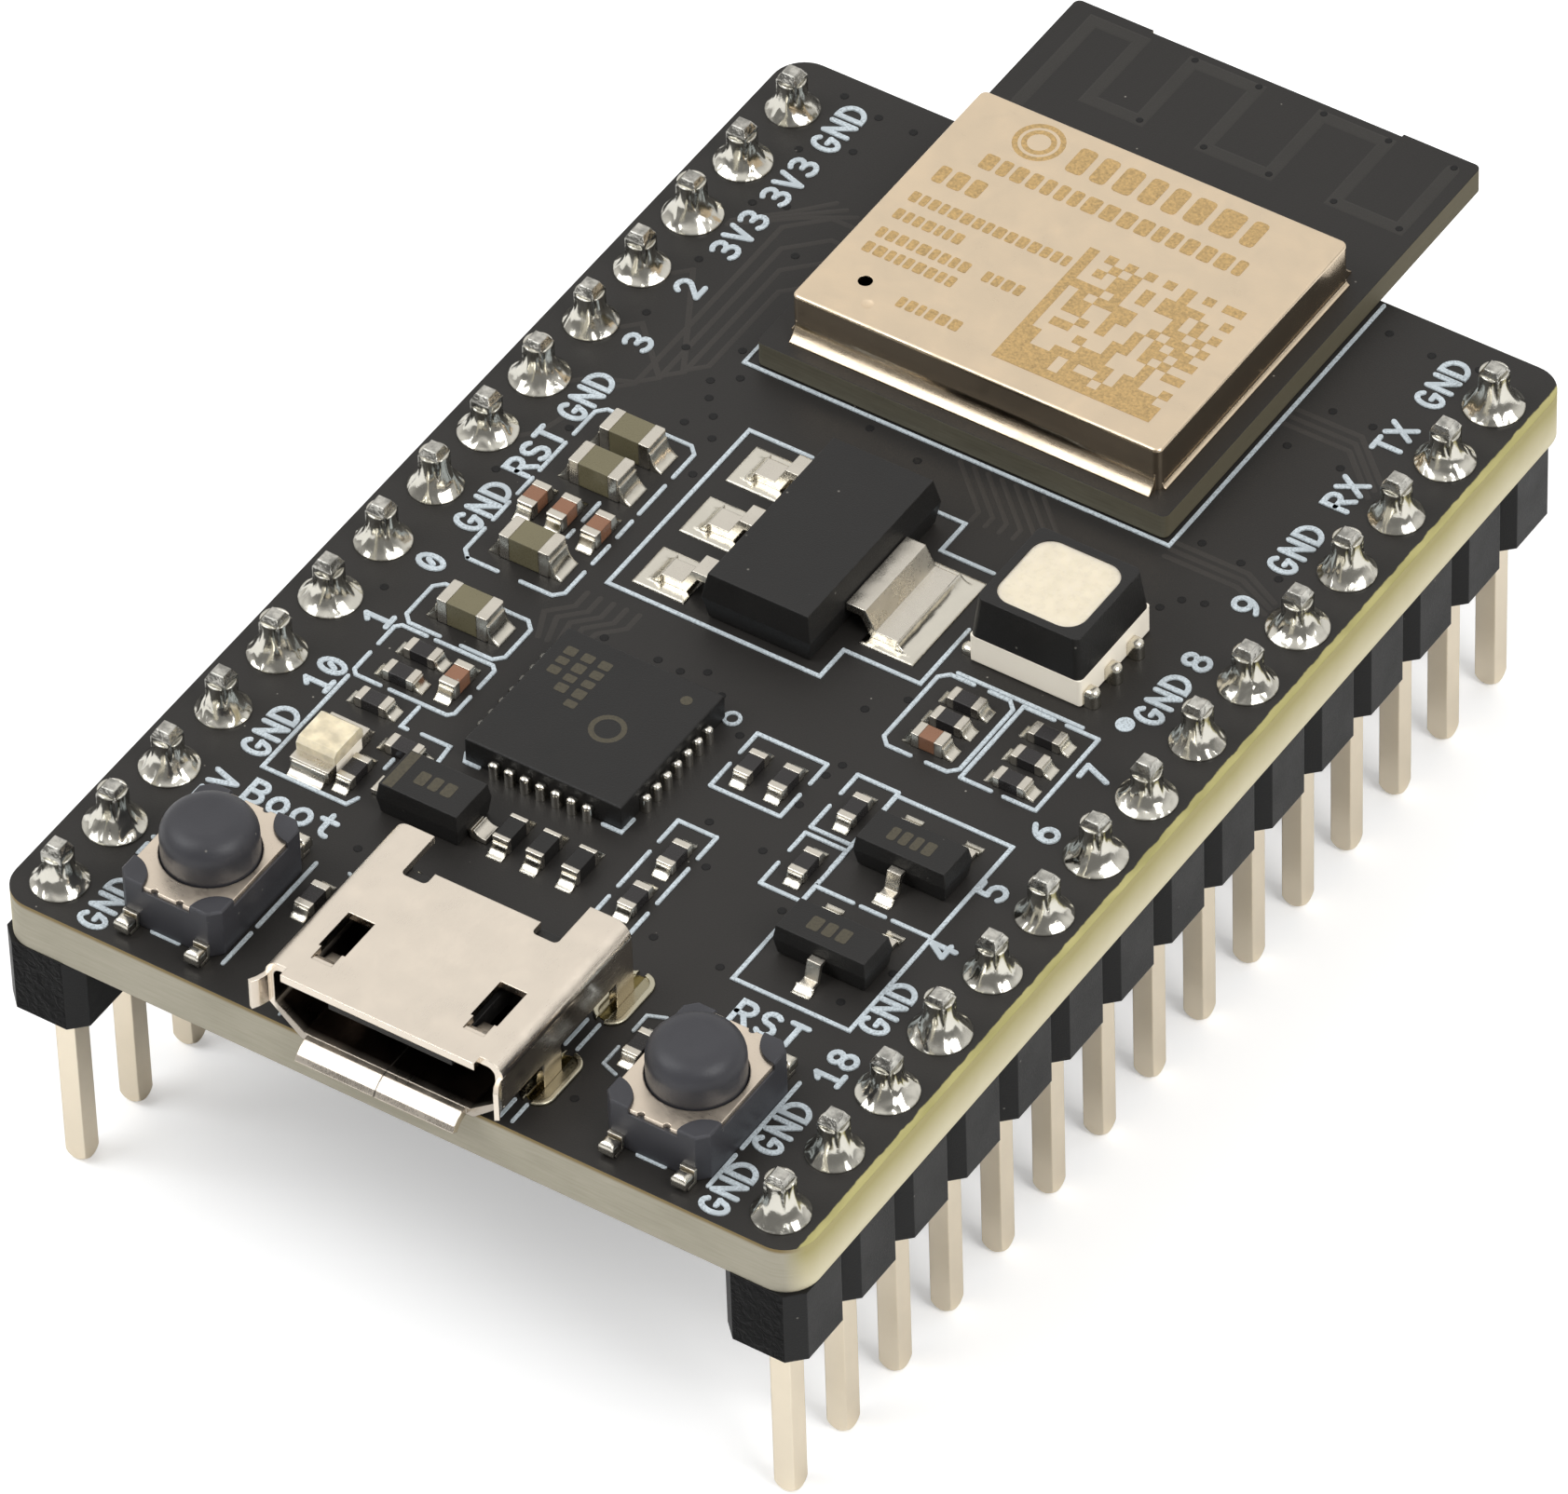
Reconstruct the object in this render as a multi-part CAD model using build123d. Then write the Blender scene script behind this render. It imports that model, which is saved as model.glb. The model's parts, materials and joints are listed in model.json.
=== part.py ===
"""Microcontroller development board, built as an assembly of separate parts.

Units are millimetres. +X runs from the left pin row to the right pin row, +Y from the
USB socket towards the antenna and +Z up. The origin is the centre of the pin grid on the
underside of the main board.
"""
from build123d import *

import math
import os

# ---- main board and pin grid ----
PITCH = 2.54
PINS_PER_ROW = 15
ROW_SPACING = 22.86
BOARD_WIDTH = 25.4
BOARD_FRONT = -19.0
BOARD_BACK = 19.75
TOP = 1.6
BOARD_CORNER = 1.0
PIN_HOLE = 1.02
PIN_SIDE = 0.64
PIN_TOP = 3.08
PIN_TIP = -8.85
PIN_CROWN = 0.24
STRIP_NOTCH = 0.46
STRIP_HEIGHT = 2.5
SOLDER_HEIGHT = 1.18

# ---- radio module ----
MODULE_WIDTH = 13.25
MODULE_FRONT = 8.6
MODULE_BACK = 25.05
MODULE_LIFT = 0.05
MODULE_BOARD = 0.8
CAN_WIDTH = 11.9
CAN_FRONT = 9.38
CAN_BACK = 19.15
CAN_TOP = TOP + 2.35
CAN_SHEET = 0.15
CAN_CORNER = 0.22
CAN_END_FLARE = 0.68
CAN_SIDE_FLARE = 0.2
CAN_SLIT = 0.28
CAN_HOLE = (-4.5, 10.9)
CAN_DIMPLE = (-3.95, 10.15)

# ---- micro USB socket ----
USB_FRONT = -19.7
USB_ROOF_FRONT = -19.45
USB_TUBE_FRONT = -19.15
USB_TUBE_BACK = -14.25
USB_ARM_BACK = -13.1
USB_HALF_WIDTH = 3.75
USB_HEIGHT = 2.45
USB_SHEET = 0.25
USB_SLOTS = (-16.92, -13.5)
USB_SLOT_X = 3.7
USB_SLOT_LENGTH = 1.9
USB_SLOT_WIDTH = 0.75
LATCH_X = 2.4
LATCH_ROOT = -18.5
LATCH_WIDTH = 0.62

# ---- push switches ----
BOOT_SWITCH = (-7.77, -15.9)
RESET_SWITCH = (7.62, -15.9)
SWITCH_WIDTH = 3.22
SWITCH_LENGTH = 4.2
SWITCH_POST_TOP = TOP + 1.6
SWITCH_SEAT = TOP + 1.35
SWITCH_SHEET = 0.15
SWITCH_FLOOR = TOP + 0.3
SWITCH_CAVITY = 2.98
SWITCH_OPENING = 2.8
SWITCH_LEAD_OFFSET = 1.13
COVER_WIDTH = 3.1
COVER_LENGTH = 4.08
COVER_BITE = 1.7
PLUNGER_WIDTH = 2.7
PLUNGER_TOP = TOP + 2.8
PLUNGER_CROWN = 0.66
PLUNGER_FLANGE = 2.88
DOME_HEIGHT = 0.4
DOME_SHEET = 0.06

# ---- larger chips ----
BRIDGE_CENTRE = (-2.3, -5.85)
BRIDGE_SIDE = 5.0
BRIDGE_HEIGHT = 0.83
BRIDGE_LIFT = 0.02
BRIDGE_PITCH = 0.5
REGULATOR_CENTRE = (-0.68, 2.77)
RGB_CENTRE = (6.35, 3.7)
RGB_SIDE = 3.52
RGB_WELL = 2.74
RGB_WELL_CORNER = 0.6
RGB_DRAFT = 6
RGB_SEAM = TOP + 0.98
RGB_TOP = TOP + 2.33

# ---- small two-terminal chips: length, width, height ----
SIZE_0402 = (1.0, 0.5, 0.36)
SIZE_0402_TALL = (1.0, 0.52, 0.5)
SIZE_0603 = (1.65, 0.88, 0.86)

# ---- where they sit: x, y, turn of the long side from X in degrees ----
LARGE_CAPACITORS = ((-7.62, 3.98, 0), (-7.62, 2.47, 0), (-7.6, -0.95, 0), (-7.64, -3.9, 0))
SMALL_CAPACITORS = ((-8.68, 0.76, 90), (-7.72, 0.76, 90), (-6.57, 0.7, 90),
                    (-6.59, -6.11, 90), (5.49, -1.36, 0))
RESISTORS = ((-7.95, -5.71, 0), (-7.97, -6.7, 0), (-8.02, -7.94, 0), (-6.32, -9.0, 0),
             (5.5, 0.38, 0), (5.5, -0.46, 0), (8.05, 0.41, 0), (8.12, -0.56, 0),
             (8.15, -1.5, 0), (-7.01, -10.39, 90), (1.9, -4.67, 90), (2.99, -4.65, 90),
             (5.15, -4.6, 90), (5.15, -6.99, 90), (2.02, -8.57, 90), (2.0, -10.42, 90),
             (-5.27, -14.9, 90), (5.1, -14.85, 90))
CLAMP_DIODES = ((-2.1, -10.2, 90), (-1.04, -10.2, 90), (0.1, -10.2, 90))
TRANSISTORS = ((7.57, -5.5), (7.57, -9.38))
RECTIFIER_CENTRE = (-4.42, -10.4)
POWER_LED_CENTRE = (-8.02, -10.05)


# ---------------------------------------------------------------- helpers
def slab(x, y, base, length, width, height):
    """Rectangular block standing on the level `base`."""
    return Pos(x, y, base + height / 2) * Box(length, width, height)


def rod(x, y, base, diameter, height):
    """Upright cylinder standing on the level `base`."""
    return Pos(x, y, base + height / 2) * Cylinder(diameter / 2, height)


def softened(shape, axis, radius):
    """The shape with its edges along one axis rounded."""
    return fillet(shape.edges().filter_by(axis), radius)


def side_profile(points, width):
    """Closed outline in X-Z, given a width along Y centred on zero."""
    outline = make_face(Plane.XZ * Polyline(*points, close=True))
    return extrude(outline, width / 2, both=True)


def ribbon(path, thickness, width):
    """Bent sheet metal: centre line in X-Z with mitred bends, width along Y."""
    upper = []
    lower = []
    last = len(path) - 1
    for i, (x, z) in enumerate(path):
        before = path[max(i - 1, 0)]
        after = path[min(i + 1, last)]
        into = math.atan2(z - before[1], x - before[0]) if i > 0 else None
        out = math.atan2(after[1] - z, after[0] - x) if i < last else into
        into = out if into is None else into
        bend = (out - into) / 2
        normal = (into + out) / 2 + math.pi / 2
        reach = thickness / 2 / math.cos(bend)
        upper.append((x + reach * math.cos(normal), z + reach * math.sin(normal)))
        lower.append((x - reach * math.cos(normal), z - reach * math.sin(normal)))
    return side_profile(upper + lower[::-1], width)


def concave_wedge(reach, height, width):
    """Concave fillet: upright face at x = 0, foot reaching out along +X."""
    slope = ThreePointArc((reach, 0.04), (reach * 0.38, height * 0.4), (0.03, height))
    sides = Polyline((0.03, height), (0, height), (0, 0), (reach, 0), (reach, 0.04))
    return extrude(make_face(Plane.XZ * (slope + sides)), width / 2, both=True)


def foot_flare(radius, width):
    """Sheet foot that leaves an upright wall at x = 0 and curves out along +X."""
    root = -0.08
    lip = 0.06
    first, middle, last = [math.radians(lean) for lean in (8, 36, 62)]

    def on_arc(lean):
        return (radius * (math.cos(first) - math.cos(lean)),
                lip + radius * (math.sin(last) - math.sin(lean)))

    sweep = ThreePointArc(on_arc(last), on_arc(middle), on_arc(first))
    height = on_arc(first)[1]
    reach = on_arc(last)[0]
    sides = Polyline((0, height), (root, height), (root, 0), (reach, 0), (reach, lip))
    return extrude(make_face(Plane.XZ * (sweep + sides)), width / 2, both=True)


def solder_drop(reach, width, height):
    """Rounded drop of solder standing against an upright wall at x = 0."""
    drop = slab(reach / 2, 0, 0, reach, width, height)
    outer_edges = drop.edges().filter_by(Axis.Z).sort_by(Axis.X)[-2:]
    drop = fillet(outer_edges, 0.46 * width)
    return fillet(drop.faces().sort_by(Axis.Z)[-1].edges(), 0.4 * width)


def placed(shape, x, y, base=TOP, turn=0):
    """The shape moved to its seat on the board and turned about Z."""
    return Pos(x, y, base) * Rot(0, 0, turn) * shape


def tapered_body(length, width, height, seam, draft):
    """Moulded package body with draft above and below its seam line, base at zero."""
    rim = Pos(0, 0, seam) * Rectangle(length, width)
    above = extrude(rim, height - seam, taper=draft)
    below = extrude(rim, -seam, taper=draft)
    return above + below


def pin_positions(side):
    """Centres of one pin row, from the USB end towards the antenna."""
    x = side * ROW_SPACING / 2
    middle = (PINS_PER_ROW - 1) / 2
    return [(x, (i - middle) * PITCH) for i in range(PINS_PER_ROW)]


# ---------------------------------------------------------------- main board
def main_board():
    """Bare circuit board with its pin holes and the four slots for the USB shell."""
    length = BOARD_BACK - BOARD_FRONT
    middle = (BOARD_BACK + BOARD_FRONT) / 2
    board = softened(slab(0, middle, 0, BOARD_WIDTH, length, TOP), Axis.Z, BOARD_CORNER)
    slot = extrude(SlotOverall(USB_SLOT_LENGTH, USB_SLOT_WIDTH), TOP)
    cuts = []
    for side in (-1, 1):
        cuts += [rod(x, y, 0, PIN_HOLE, TOP) for x, y in pin_positions(side)]
        cuts += [placed(slot, side * USB_SLOT_X, y, 0, 90) for y in USB_SLOTS]
    return [board - cuts]


# ---------------------------------------------------------------- pin headers
def header_strip(side):
    """One moulded strip: fifteen octagonal blocks in a row, each with a square pin hole."""
    block = slab(0, 0, -STRIP_HEIGHT, PITCH, PITCH, STRIP_HEIGHT)
    block = chamfer(block.edges().filter_by(Axis.Z), STRIP_NOTCH)
    strip = None
    for x, y in pin_positions(side):
        piece = Pos(x, y, 0) * block
        strip = piece if strip is None else strip + piece
    holes = [slab(x, y, -STRIP_HEIGHT, PIN_SIDE, PIN_SIDE, STRIP_HEIGHT)
             for x, y in pin_positions(side)]
    return [strip - holes]


def header_pins(side):
    """Fifteen square pins, rounded at the lower end and tapered at the top."""
    nose = 0.42
    square = Rectangle(PIN_SIDE, PIN_SIDE)
    shank = Pos(0, 0, PIN_TIP + nose) * extrude(square, PIN_TOP - PIN_CROWN - PIN_TIP - nose)
    crown = Pos(0, 0, PIN_TOP - PIN_CROWN) * extrude(square, PIN_CROWN, taper=27)
    tip = slab(0, 0, PIN_TIP, PIN_SIDE, PIN_SIDE, nose) & Pos(0, 0, PIN_TIP + nose) * Sphere(0.47)
    return [Pos(x, y, 0) * (shank + crown + tip) for x, y in pin_positions(side)]


def pin_solder(side):
    """Solder joints: each fills the hole round its pin and rises in a concave cone."""
    joints = []
    neck = 0.41
    pin = slab(0, 0, 0, PIN_SIDE, PIN_SIDE, PIN_TOP)
    for i, (x, y) in enumerate(pin_positions(side)):
        height = SOLDER_HEIGHT + 0.14 * math.sin(2.3 * i + side)
        foot = 0.84 + 0.05 * math.cos(1.7 * i + 2 * side)
        flank = ThreePointArc((foot, 0.06), (0.51, 0.38 * height), (neck, height))
        rest = Polyline((neck, height), (0, height), (0, 0), (foot, 0), (foot, 0.06))
        cone = revolve(make_face(Plane.XZ * (flank + rest)), Axis.Z)
        plug = rod(0, 0, 0, PIN_HOLE - 0.02, TOP)
        joints.append(Pos(x, y, 0) * (Pos(0, 0, TOP) * cone + plug - pin))
    return joints


# ---------------------------------------------------------------- radio module
def module_board():
    """Small carrier board that overhangs the back edge with its antenna end."""
    length = MODULE_BACK - MODULE_FRONT
    base = TOP + MODULE_LIFT
    board = slab(0, MODULE_FRONT + length / 2, base, MODULE_WIDTH, length, MODULE_BOARD)
    board = softened(board, Axis.Z, 0.2)
    recess = slab(0, MODULE_BACK, base, 8.2, 0.2, MODULE_BOARD)
    return [board - recess]


def module_lands():
    """Solder lands between the module and the main board: a rim of pads and a ground grid."""
    pads = []
    for i in range(11):
        y = MODULE_FRONT + 0.9 + i * 0.85
        for side in (-1, 1):
            pads.append(slab(side * (MODULE_WIDTH / 2 - 0.5), y, TOP, 0.8, 0.4, MODULE_LIFT))
    for i in range(12):
        x = (i - 5.5) * 0.85
        pads.append(slab(x, MODULE_FRONT + 0.5, TOP, 0.4, 0.8, MODULE_LIFT))
    for column in (-1, 0, 1):
        for row in (-1, 0, 1):
            pads.append(slab(column * 1.95, 14 + row * 1.95, TOP, 1.45, 1.45, MODULE_LIFT))
    return pads


def module_level():
    """Level of the module board's top face."""
    return TOP + MODULE_LIFT + MODULE_BOARD


def shield_can():
    """Folded metal lid: crisp edges, a curved flange at each foot, a test hole and a dimple."""
    base = module_level()
    length = CAN_BACK - CAN_FRONT
    middle = (CAN_BACK + CAN_FRONT) / 2
    outer = slab(0, middle, base, CAN_WIDTH, length, CAN_TOP - base)
    outer = softened(outer, Axis.Z, CAN_CORNER)
    outer = fillet(outer.faces().sort_by(Axis.Z)[-1].edges(), 0.1)
    inner = slab(0, middle, base, CAN_WIDTH - 2 * CAN_SHEET, length - 2 * CAN_SHEET,
                 CAN_TOP - base - CAN_SHEET)
    side_flange = foot_flare(CAN_SIDE_FLARE, length - CAN_SLIT)
    end_flange = foot_flare(CAN_END_FLARE, CAN_WIDTH - CAN_SLIT)
    can = outer - inner
    for turn in (0, 180):
        edge = Pos(CAN_WIDTH / 2, 0, 0) * side_flange
        can = can + placed(edge, 0, middle, base, turn)
        edge = Pos(length / 2, 0, 0) * end_flange
        can = can + placed(edge, 0, middle, base, turn + 90)
    hole = rod(*CAN_HOLE, base, 0.42, CAN_TOP)
    dimple = Pos(*CAN_DIMPLE, CAN_TOP + 0.42) * Sphere(0.46)
    return [can - hole - dimple]


def module_processor():
    """Processor package under the lid."""
    return [slab(-1.2, 15.0, module_level() + 0.02, 5.0, 5.0, 0.85)]


def module_crystal():
    """Quartz crystal: ceramic tub with a metal lid seated on it."""
    tub = slab(3.6, 12.4, module_level(), 2.0, 1.6, 0.35)
    lid = slab(3.6, 12.4, module_level() + 0.35, 1.8, 1.4, 0.12)
    return [tub + lid]


def module_passives():
    """Two rows of tiny chip parts under the lid, near the processor."""
    pieces = []
    for i in range(6):
        pieces.append(slab(-4.6 + i * 0.95, 11.2, module_level(), 0.3, 0.6, 0.3))
        pieces.append(slab(3.0 + (i % 2) * 1.2, 14.4 + (i // 2) * 1.1, module_level(), 0.6, 0.3, 0.3))
    return pieces


# ---------------------------------------------------------------- USB socket
def usb_section(inset):
    """Cross-section of the shell in X-Z with the lower corners cut away, pulled in by `inset`."""
    half = USB_HALF_WIDTH - inset
    foot = 2.72 - inset * 0.4
    low = inset
    high = USB_HEIGHT - inset
    knee = 0.95
    points = [(-foot, low), (foot, low), (half, knee), (half, high), (-half, high), (-half, knee)]
    face = make_face(Polyline(*points, close=True))
    upper = face.vertices().sort_by(Axis.Y)[-2:]
    return fillet(upper, max(0.5 - inset, 0.2))


def usb_prism(inset, front, back):
    """The shell section drawn out along Y between two stations."""
    seat = Plane(origin=(0, back, TOP), x_dir=(1, 0, 0), z_dir=(0, -1, 0))
    return extrude(seat * usb_section(inset), back - front)


def usb_window():
    """Latch window in the shell roof, narrower where the latch leaves the roof."""
    opening = slab(0, -17.3, TOP + 1.9, 0.84, 1.4, 1.0)
    root = slab(0, LATCH_ROOT + 0.3, TOP + 1.9, LATCH_WIDTH + 0.04, 0.6, 1.0)
    return opening + root


def usb_latch():
    """Spring latch hanging from the front edge of a window, bent down into the socket."""
    level = TOP + USB_HEIGHT - 0.08
    path = [(-0.05, level), (0.1, level - 0.03), (0.28, level - 0.16), (0.5, level - 0.46),
            (0.9, level - 0.56)]
    return Pos(0, LATCH_ROOT, 0) * Rot(0, 0, 90) * ribbon(path, 0.14, LATCH_WIDTH)


def usb_lip(path, thickness, width):
    """Bent edge of the mouth: path of distances behind the mouth and heights, width along X."""
    stations = [(USB_FRONT + behind, height) for behind, height in path]
    return Rot(0, 0, 90) * ribbon(stations, thickness, width)


def usb_shell():
    """Folded steel shell: tube, flared mouth, two rear arms and four feet through the board."""
    tube = usb_prism(0, USB_TUBE_FRONT, USB_ARM_BACK) - usb_prism(USB_SHEET, USB_FRONT, 0)
    bay = 2 * (USB_ARM_BACK - USB_TUBE_BACK)
    arm_gap = 4.94
    roof_bay = slab(0, USB_ARM_BACK, TOP, arm_gap, bay, 3)
    floor_bay = slab(0, USB_ARM_BACK, TOP, 6.6, bay, 1.2)
    notch = softened(slab(0, USB_TUBE_BACK, TOP + 1.5, 0.8, 0.9, 2), Axis.Z, 0.15)
    tube = tube - roof_bay - floor_bay
    for side in (-1, 1):
        tube = tube - Pos(side * (arm_gap / 2 - 0.4), 0, 0) * notch
        tube = tube - Pos(side * LATCH_X, 0, 0) * usb_window()
    roof = slab(0, (USB_ROOF_FRONT + USB_TUBE_FRONT) / 2 + 0.05, TOP + USB_HEIGHT - USB_SHEET,
                6.1, USB_TUBE_FRONT - USB_ROOF_FRONT + 0.1, USB_SHEET)
    shell = tube + roof
    for side in (-1, 1):
        shell = shell + Pos(side * LATCH_X, 0, 0) * usb_latch()
        wing = usb_lip([(0, 0.14), (0.2, 0.02), (0.45, -0.07), (0.7, -0.07)], 0.14, 1.0)
        wing = Pos(USB_HALF_WIDTH, 0, TOP + 1.5) * Rot(0, 90, 0) * wing
        shell = shell + (wing if side > 0 else mirror(wing, about=Plane.YZ))
    floor_lip = usb_lip([(0, -0.24), (0.1, -0.1), (0.24, 0.02), (0.42, 0.1), (0.62, 0.125),
                         (0.8, 0.125)], USB_SHEET, 5.0)
    shell = shell + Pos(0, 0, TOP) * floor_lip
    for side in (-1, 1):
        for y in USB_SLOTS:
            shell = shell + slab(side * (USB_HALF_WIDTH - USB_SHEET / 2), y, 0.15,
                                 USB_SHEET, 0.8, TOP + 1.1)
    return [shell]


def usb_contact_path():
    """Centre line of one contact in Y-Z, from the tongue to its foot on the board."""
    high = TOP + 1.32
    return [(-18.7, high), (-14.75, high), (-14.15, TOP + 0.08), (-13.3, TOP + 0.08)]


def usb_contacts():
    """Five contact strips under the tongue."""
    strip = Rot(0, 0, 90) * ribbon(usb_contact_path(), 0.15, 0.24)
    return [Pos((i - 2) * 0.65, 0, 0) * strip for i in range(5)]


def usb_tongue():
    """Moulded insert: rear block with the contact tongue, grooved for the contacts."""
    block = usb_prism(USB_SHEET + 0.04, -15.5, -14.2)
    tongue = slab(0, -17.1, TOP + 1.3, 3.9, 3.6, 0.6)
    return [block + tongue - usb_contacts()]


def usb_anchor_solder():
    """Solder that fills each slot round its foot, with a raised oval rim on the board."""
    rim_width = 0.13
    rim_height = 0.09
    plug = extrude(SlotOverall(USB_SLOT_LENGTH - 0.04, USB_SLOT_WIDTH - 0.04), TOP - 0.22)
    length = USB_SLOT_LENGTH + 2 * rim_width
    width = USB_SLOT_WIDTH + 2 * rim_width
    rim = extrude(SlotOverall(length, width), rim_height)
    rim = fillet(rim.faces().sort_by(Axis.Z)[-1].edges(), rim_height * 0.6)
    rim = rim - extrude(SlotOverall(USB_SLOT_LENGTH - 0.04, USB_SLOT_WIDTH - 0.04), rim_height)
    fill = Pos(0, 0, 0.25) * plug + Pos(0, 0, TOP) * rim
    beads = []
    for side in (-1, 1):
        foot_x = side * (USB_HALF_WIDTH - USB_SHEET / 2)
        for y in USB_SLOTS:
            foot = slab(foot_x, y, 0, USB_SHEET, 0.8, 2 * TOP)
            wall = slab(foot_x, y, TOP, USB_SHEET, 2 * USB_SLOT_LENGTH, TOP)
            beads.append(placed(fill, side * USB_SLOT_X, y, 0, 90) - foot - wall)
    return beads


# ---------------------------------------------------------------- push switches
def switch_body(centre):
    """Moulded base: four corner posts and a round well for the dome and the plunger flange."""
    x, y = centre
    base = TOP + 0.02
    body = slab(x, y, base, SWITCH_WIDTH, SWITCH_LENGTH, SWITCH_POST_TOP - base)
    body = chamfer(body.edges().filter_by(Axis.Z), 0.3)
    body = chamfer(body.faces().sort_by(Axis.Z)[-1].edges(), 0.05)
    well = rod(x, y, SWITCH_FLOOR, SWITCH_CAVITY, 2)
    post = SWITCH_POST_TOP - SWITCH_SEAT
    seat = slab(0, 0, 0, SWITCH_WIDTH, SWITCH_LENGTH, post) - cover_bites(post)
    return [body - well - Pos(x, y, SWITCH_SEAT) * seat]


def cover_bites(height):
    """Round bites at the four corners of the cover plate."""
    half_width = SWITCH_WIDTH / 2
    half_length = SWITCH_LENGTH / 2
    bites = []
    for end in (-1, 1):
        for side in (-1, 1):
            bites.append(rod(side * half_width, end * half_length, 0, COVER_BITE, height))
    return bites


def switch_cover(centre):
    """Stamped cover plate: bitten corners, small end notches and a round opening."""
    x, y = centre
    notch = 0.22
    plate = slab(0, 0, 0, COVER_WIDTH, COVER_LENGTH, SWITCH_SHEET) - cover_bites(SWITCH_SHEET)
    for end in (-1, 1):
        for side in (-1, 1):
            plate = plate - rod(side * 0.4, end * COVER_LENGTH / 2, 0, notch, SWITCH_SHEET)
    opening = rod(0, 0, 0, SWITCH_OPENING, SWITCH_SHEET)
    return [Pos(x, y, SWITCH_SEAT) * (plate - opening)]


def switch_plunger(centre):
    """Round button with a softened crown and a flange trapped below the cover."""
    x, y = centre
    seat = SWITCH_FLOOR + DOME_HEIGHT
    stem = rod(0, 0, seat, PLUNGER_WIDTH, PLUNGER_TOP - seat)
    stem = fillet(stem.faces().sort_by(Axis.Z)[-1].edges(), PLUNGER_CROWN)
    flange = rod(0, 0, seat, PLUNGER_FLANGE, SWITCH_SEAT - seat)
    return [Pos(x, y, 0) * (stem + flange)]


def switch_dome(centre):
    """Thin snap dome between the well floor and the plunger."""
    x, y = centre
    half = 1.3
    radius = (half ** 2 + DOME_HEIGHT ** 2) / (2 * DOME_HEIGHT)
    outer = Pos(0, 0, DOME_HEIGHT - radius) * Sphere(radius)
    inner = Pos(0, 0, DOME_HEIGHT - radius - DOME_SHEET) * Sphere(radius)
    keep = slab(0, 0, 0, 3, 3, DOME_HEIGHT)
    return [Pos(x, y, SWITCH_FLOOR) * ((outer - inner) & keep)]


def switch_terminals(centre):
    """Four bent leads, two at each end, with their solder feet on the board."""
    x, y = centre
    end = SWITCH_LENGTH / 2
    path = [(end + 0.06, TOP + 0.5), (end + 0.1, TOP + 0.08), (end + 0.42, TOP + 0.08)]
    lead = ribbon(path, 0.12, 0.46)
    leads = []
    for turn in (-90, 90):
        for offset in (-SWITCH_LEAD_OFFSET, SWITCH_LEAD_OFFSET):
            leads.append(Pos(x + offset, y, 0) * Rot(0, 0, turn) * lead)
    return leads


def switch_solder():
    """Solder heaps on the eight switch leads."""
    heaps = []
    heap = slab(0.2, 0, 0, 0.4, 0.46, 0.38)
    heap = fillet(heap.faces().sort_by(Axis.Z)[-1].edges(), 0.17)
    heap = Pos(SWITCH_LENGTH / 2 + 0.17, 0, TOP + 0.14) * heap
    for x, y in (BOOT_SWITCH, RESET_SWITCH):
        for turn in (-90, 90):
            for offset in (-SWITCH_LEAD_OFFSET, SWITCH_LEAD_OFFSET):
                heaps.append(Pos(x + offset, y, 0) * Rot(0, 0, turn) * heap)
    return heaps


# ---------------------------------------------------------------- USB bridge chip
def bridge_body():
    """Flat leadless package."""
    x, y = BRIDGE_CENTRE
    body = slab(x, y, TOP + BRIDGE_LIFT, BRIDGE_SIDE, BRIDGE_SIDE, BRIDGE_HEIGHT)
    return [chamfer(body.faces().sort_by(Axis.Z)[-1].edges(), 0.04)]


def bridge_solder():
    """Seven rounded drops of solder on each of the four sides."""
    x, y = BRIDGE_CENTRE
    drops = []
    drop = solder_drop(0.27, 0.29, 0.56)
    for turn in (0, 90, 180, 270):
        for i in range(7):
            seat = Pos(BRIDGE_SIDE / 2, (i - 3) * BRIDGE_PITCH, 0) * drop
            drops.append(placed(seat, x, y, TOP, turn))
    return drops


# ---------------------------------------------------------------- regulator
def regulator_body():
    """Moulded power package with drafted sides."""
    x, y = REGULATOR_CENTRE
    return [placed(tapered_body(3.5, 6.5, 1.58, 0.75, 10), x, y, TOP + 0.05)]


def regulator_leads():
    """Three bent leads on the left and the wide heat tab on the right."""
    x, y = REGULATOR_CENTRE
    lead = [(1.77, 0.8), (2.35, 0.8), (2.72, 0.17), (3.45, 0.17)]
    tab = [(1.77, 0.8), (2.3, 0.8), (2.62, 0.17), (3.4, 0.17)]
    pieces = []
    for i in (-1, 0, 1):
        pieces.append(placed(ribbon(lead, 0.26, 0.72), x, y + i * 2.3, TOP, 180))
    pieces.append(placed(ribbon(tab, 0.26, 3.0), x, y, TOP))
    return pieces


def regulator_solder():
    """Solder under and round the four feet."""
    x, y = REGULATOR_CENTRE
    pieces = []
    for i in (-1, 0, 1):
        pad = slab(x - 3.3, y + i * 2.3, TOP, 1.66, 1.55, 0.04)
        toe = placed(concave_wedge(0.5, 0.3, 0.95), x - 3.45, y + i * 2.3, TOP, 180)
        pieces.append(pad + toe)
    pad = slab(x + 3.25, y, TOP, 1.7, 3.7, 0.04)
    toe = placed(concave_wedge(0.5, 0.3, 3.2), x + 3.4, y, TOP)
    pieces.append(pad + toe)
    return pieces


# ---------------------------------------------------------------- colour indicator
def rgb_base():
    """Pale lower tub of the colour indicator."""
    x, y = RGB_CENTRE
    tub = slab(x, y, TOP + 0.06, RGB_SIDE, RGB_SIDE, RGB_SEAM - TOP - 0.06)
    return [softened(tub, Axis.Z, 0.08)]


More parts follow.
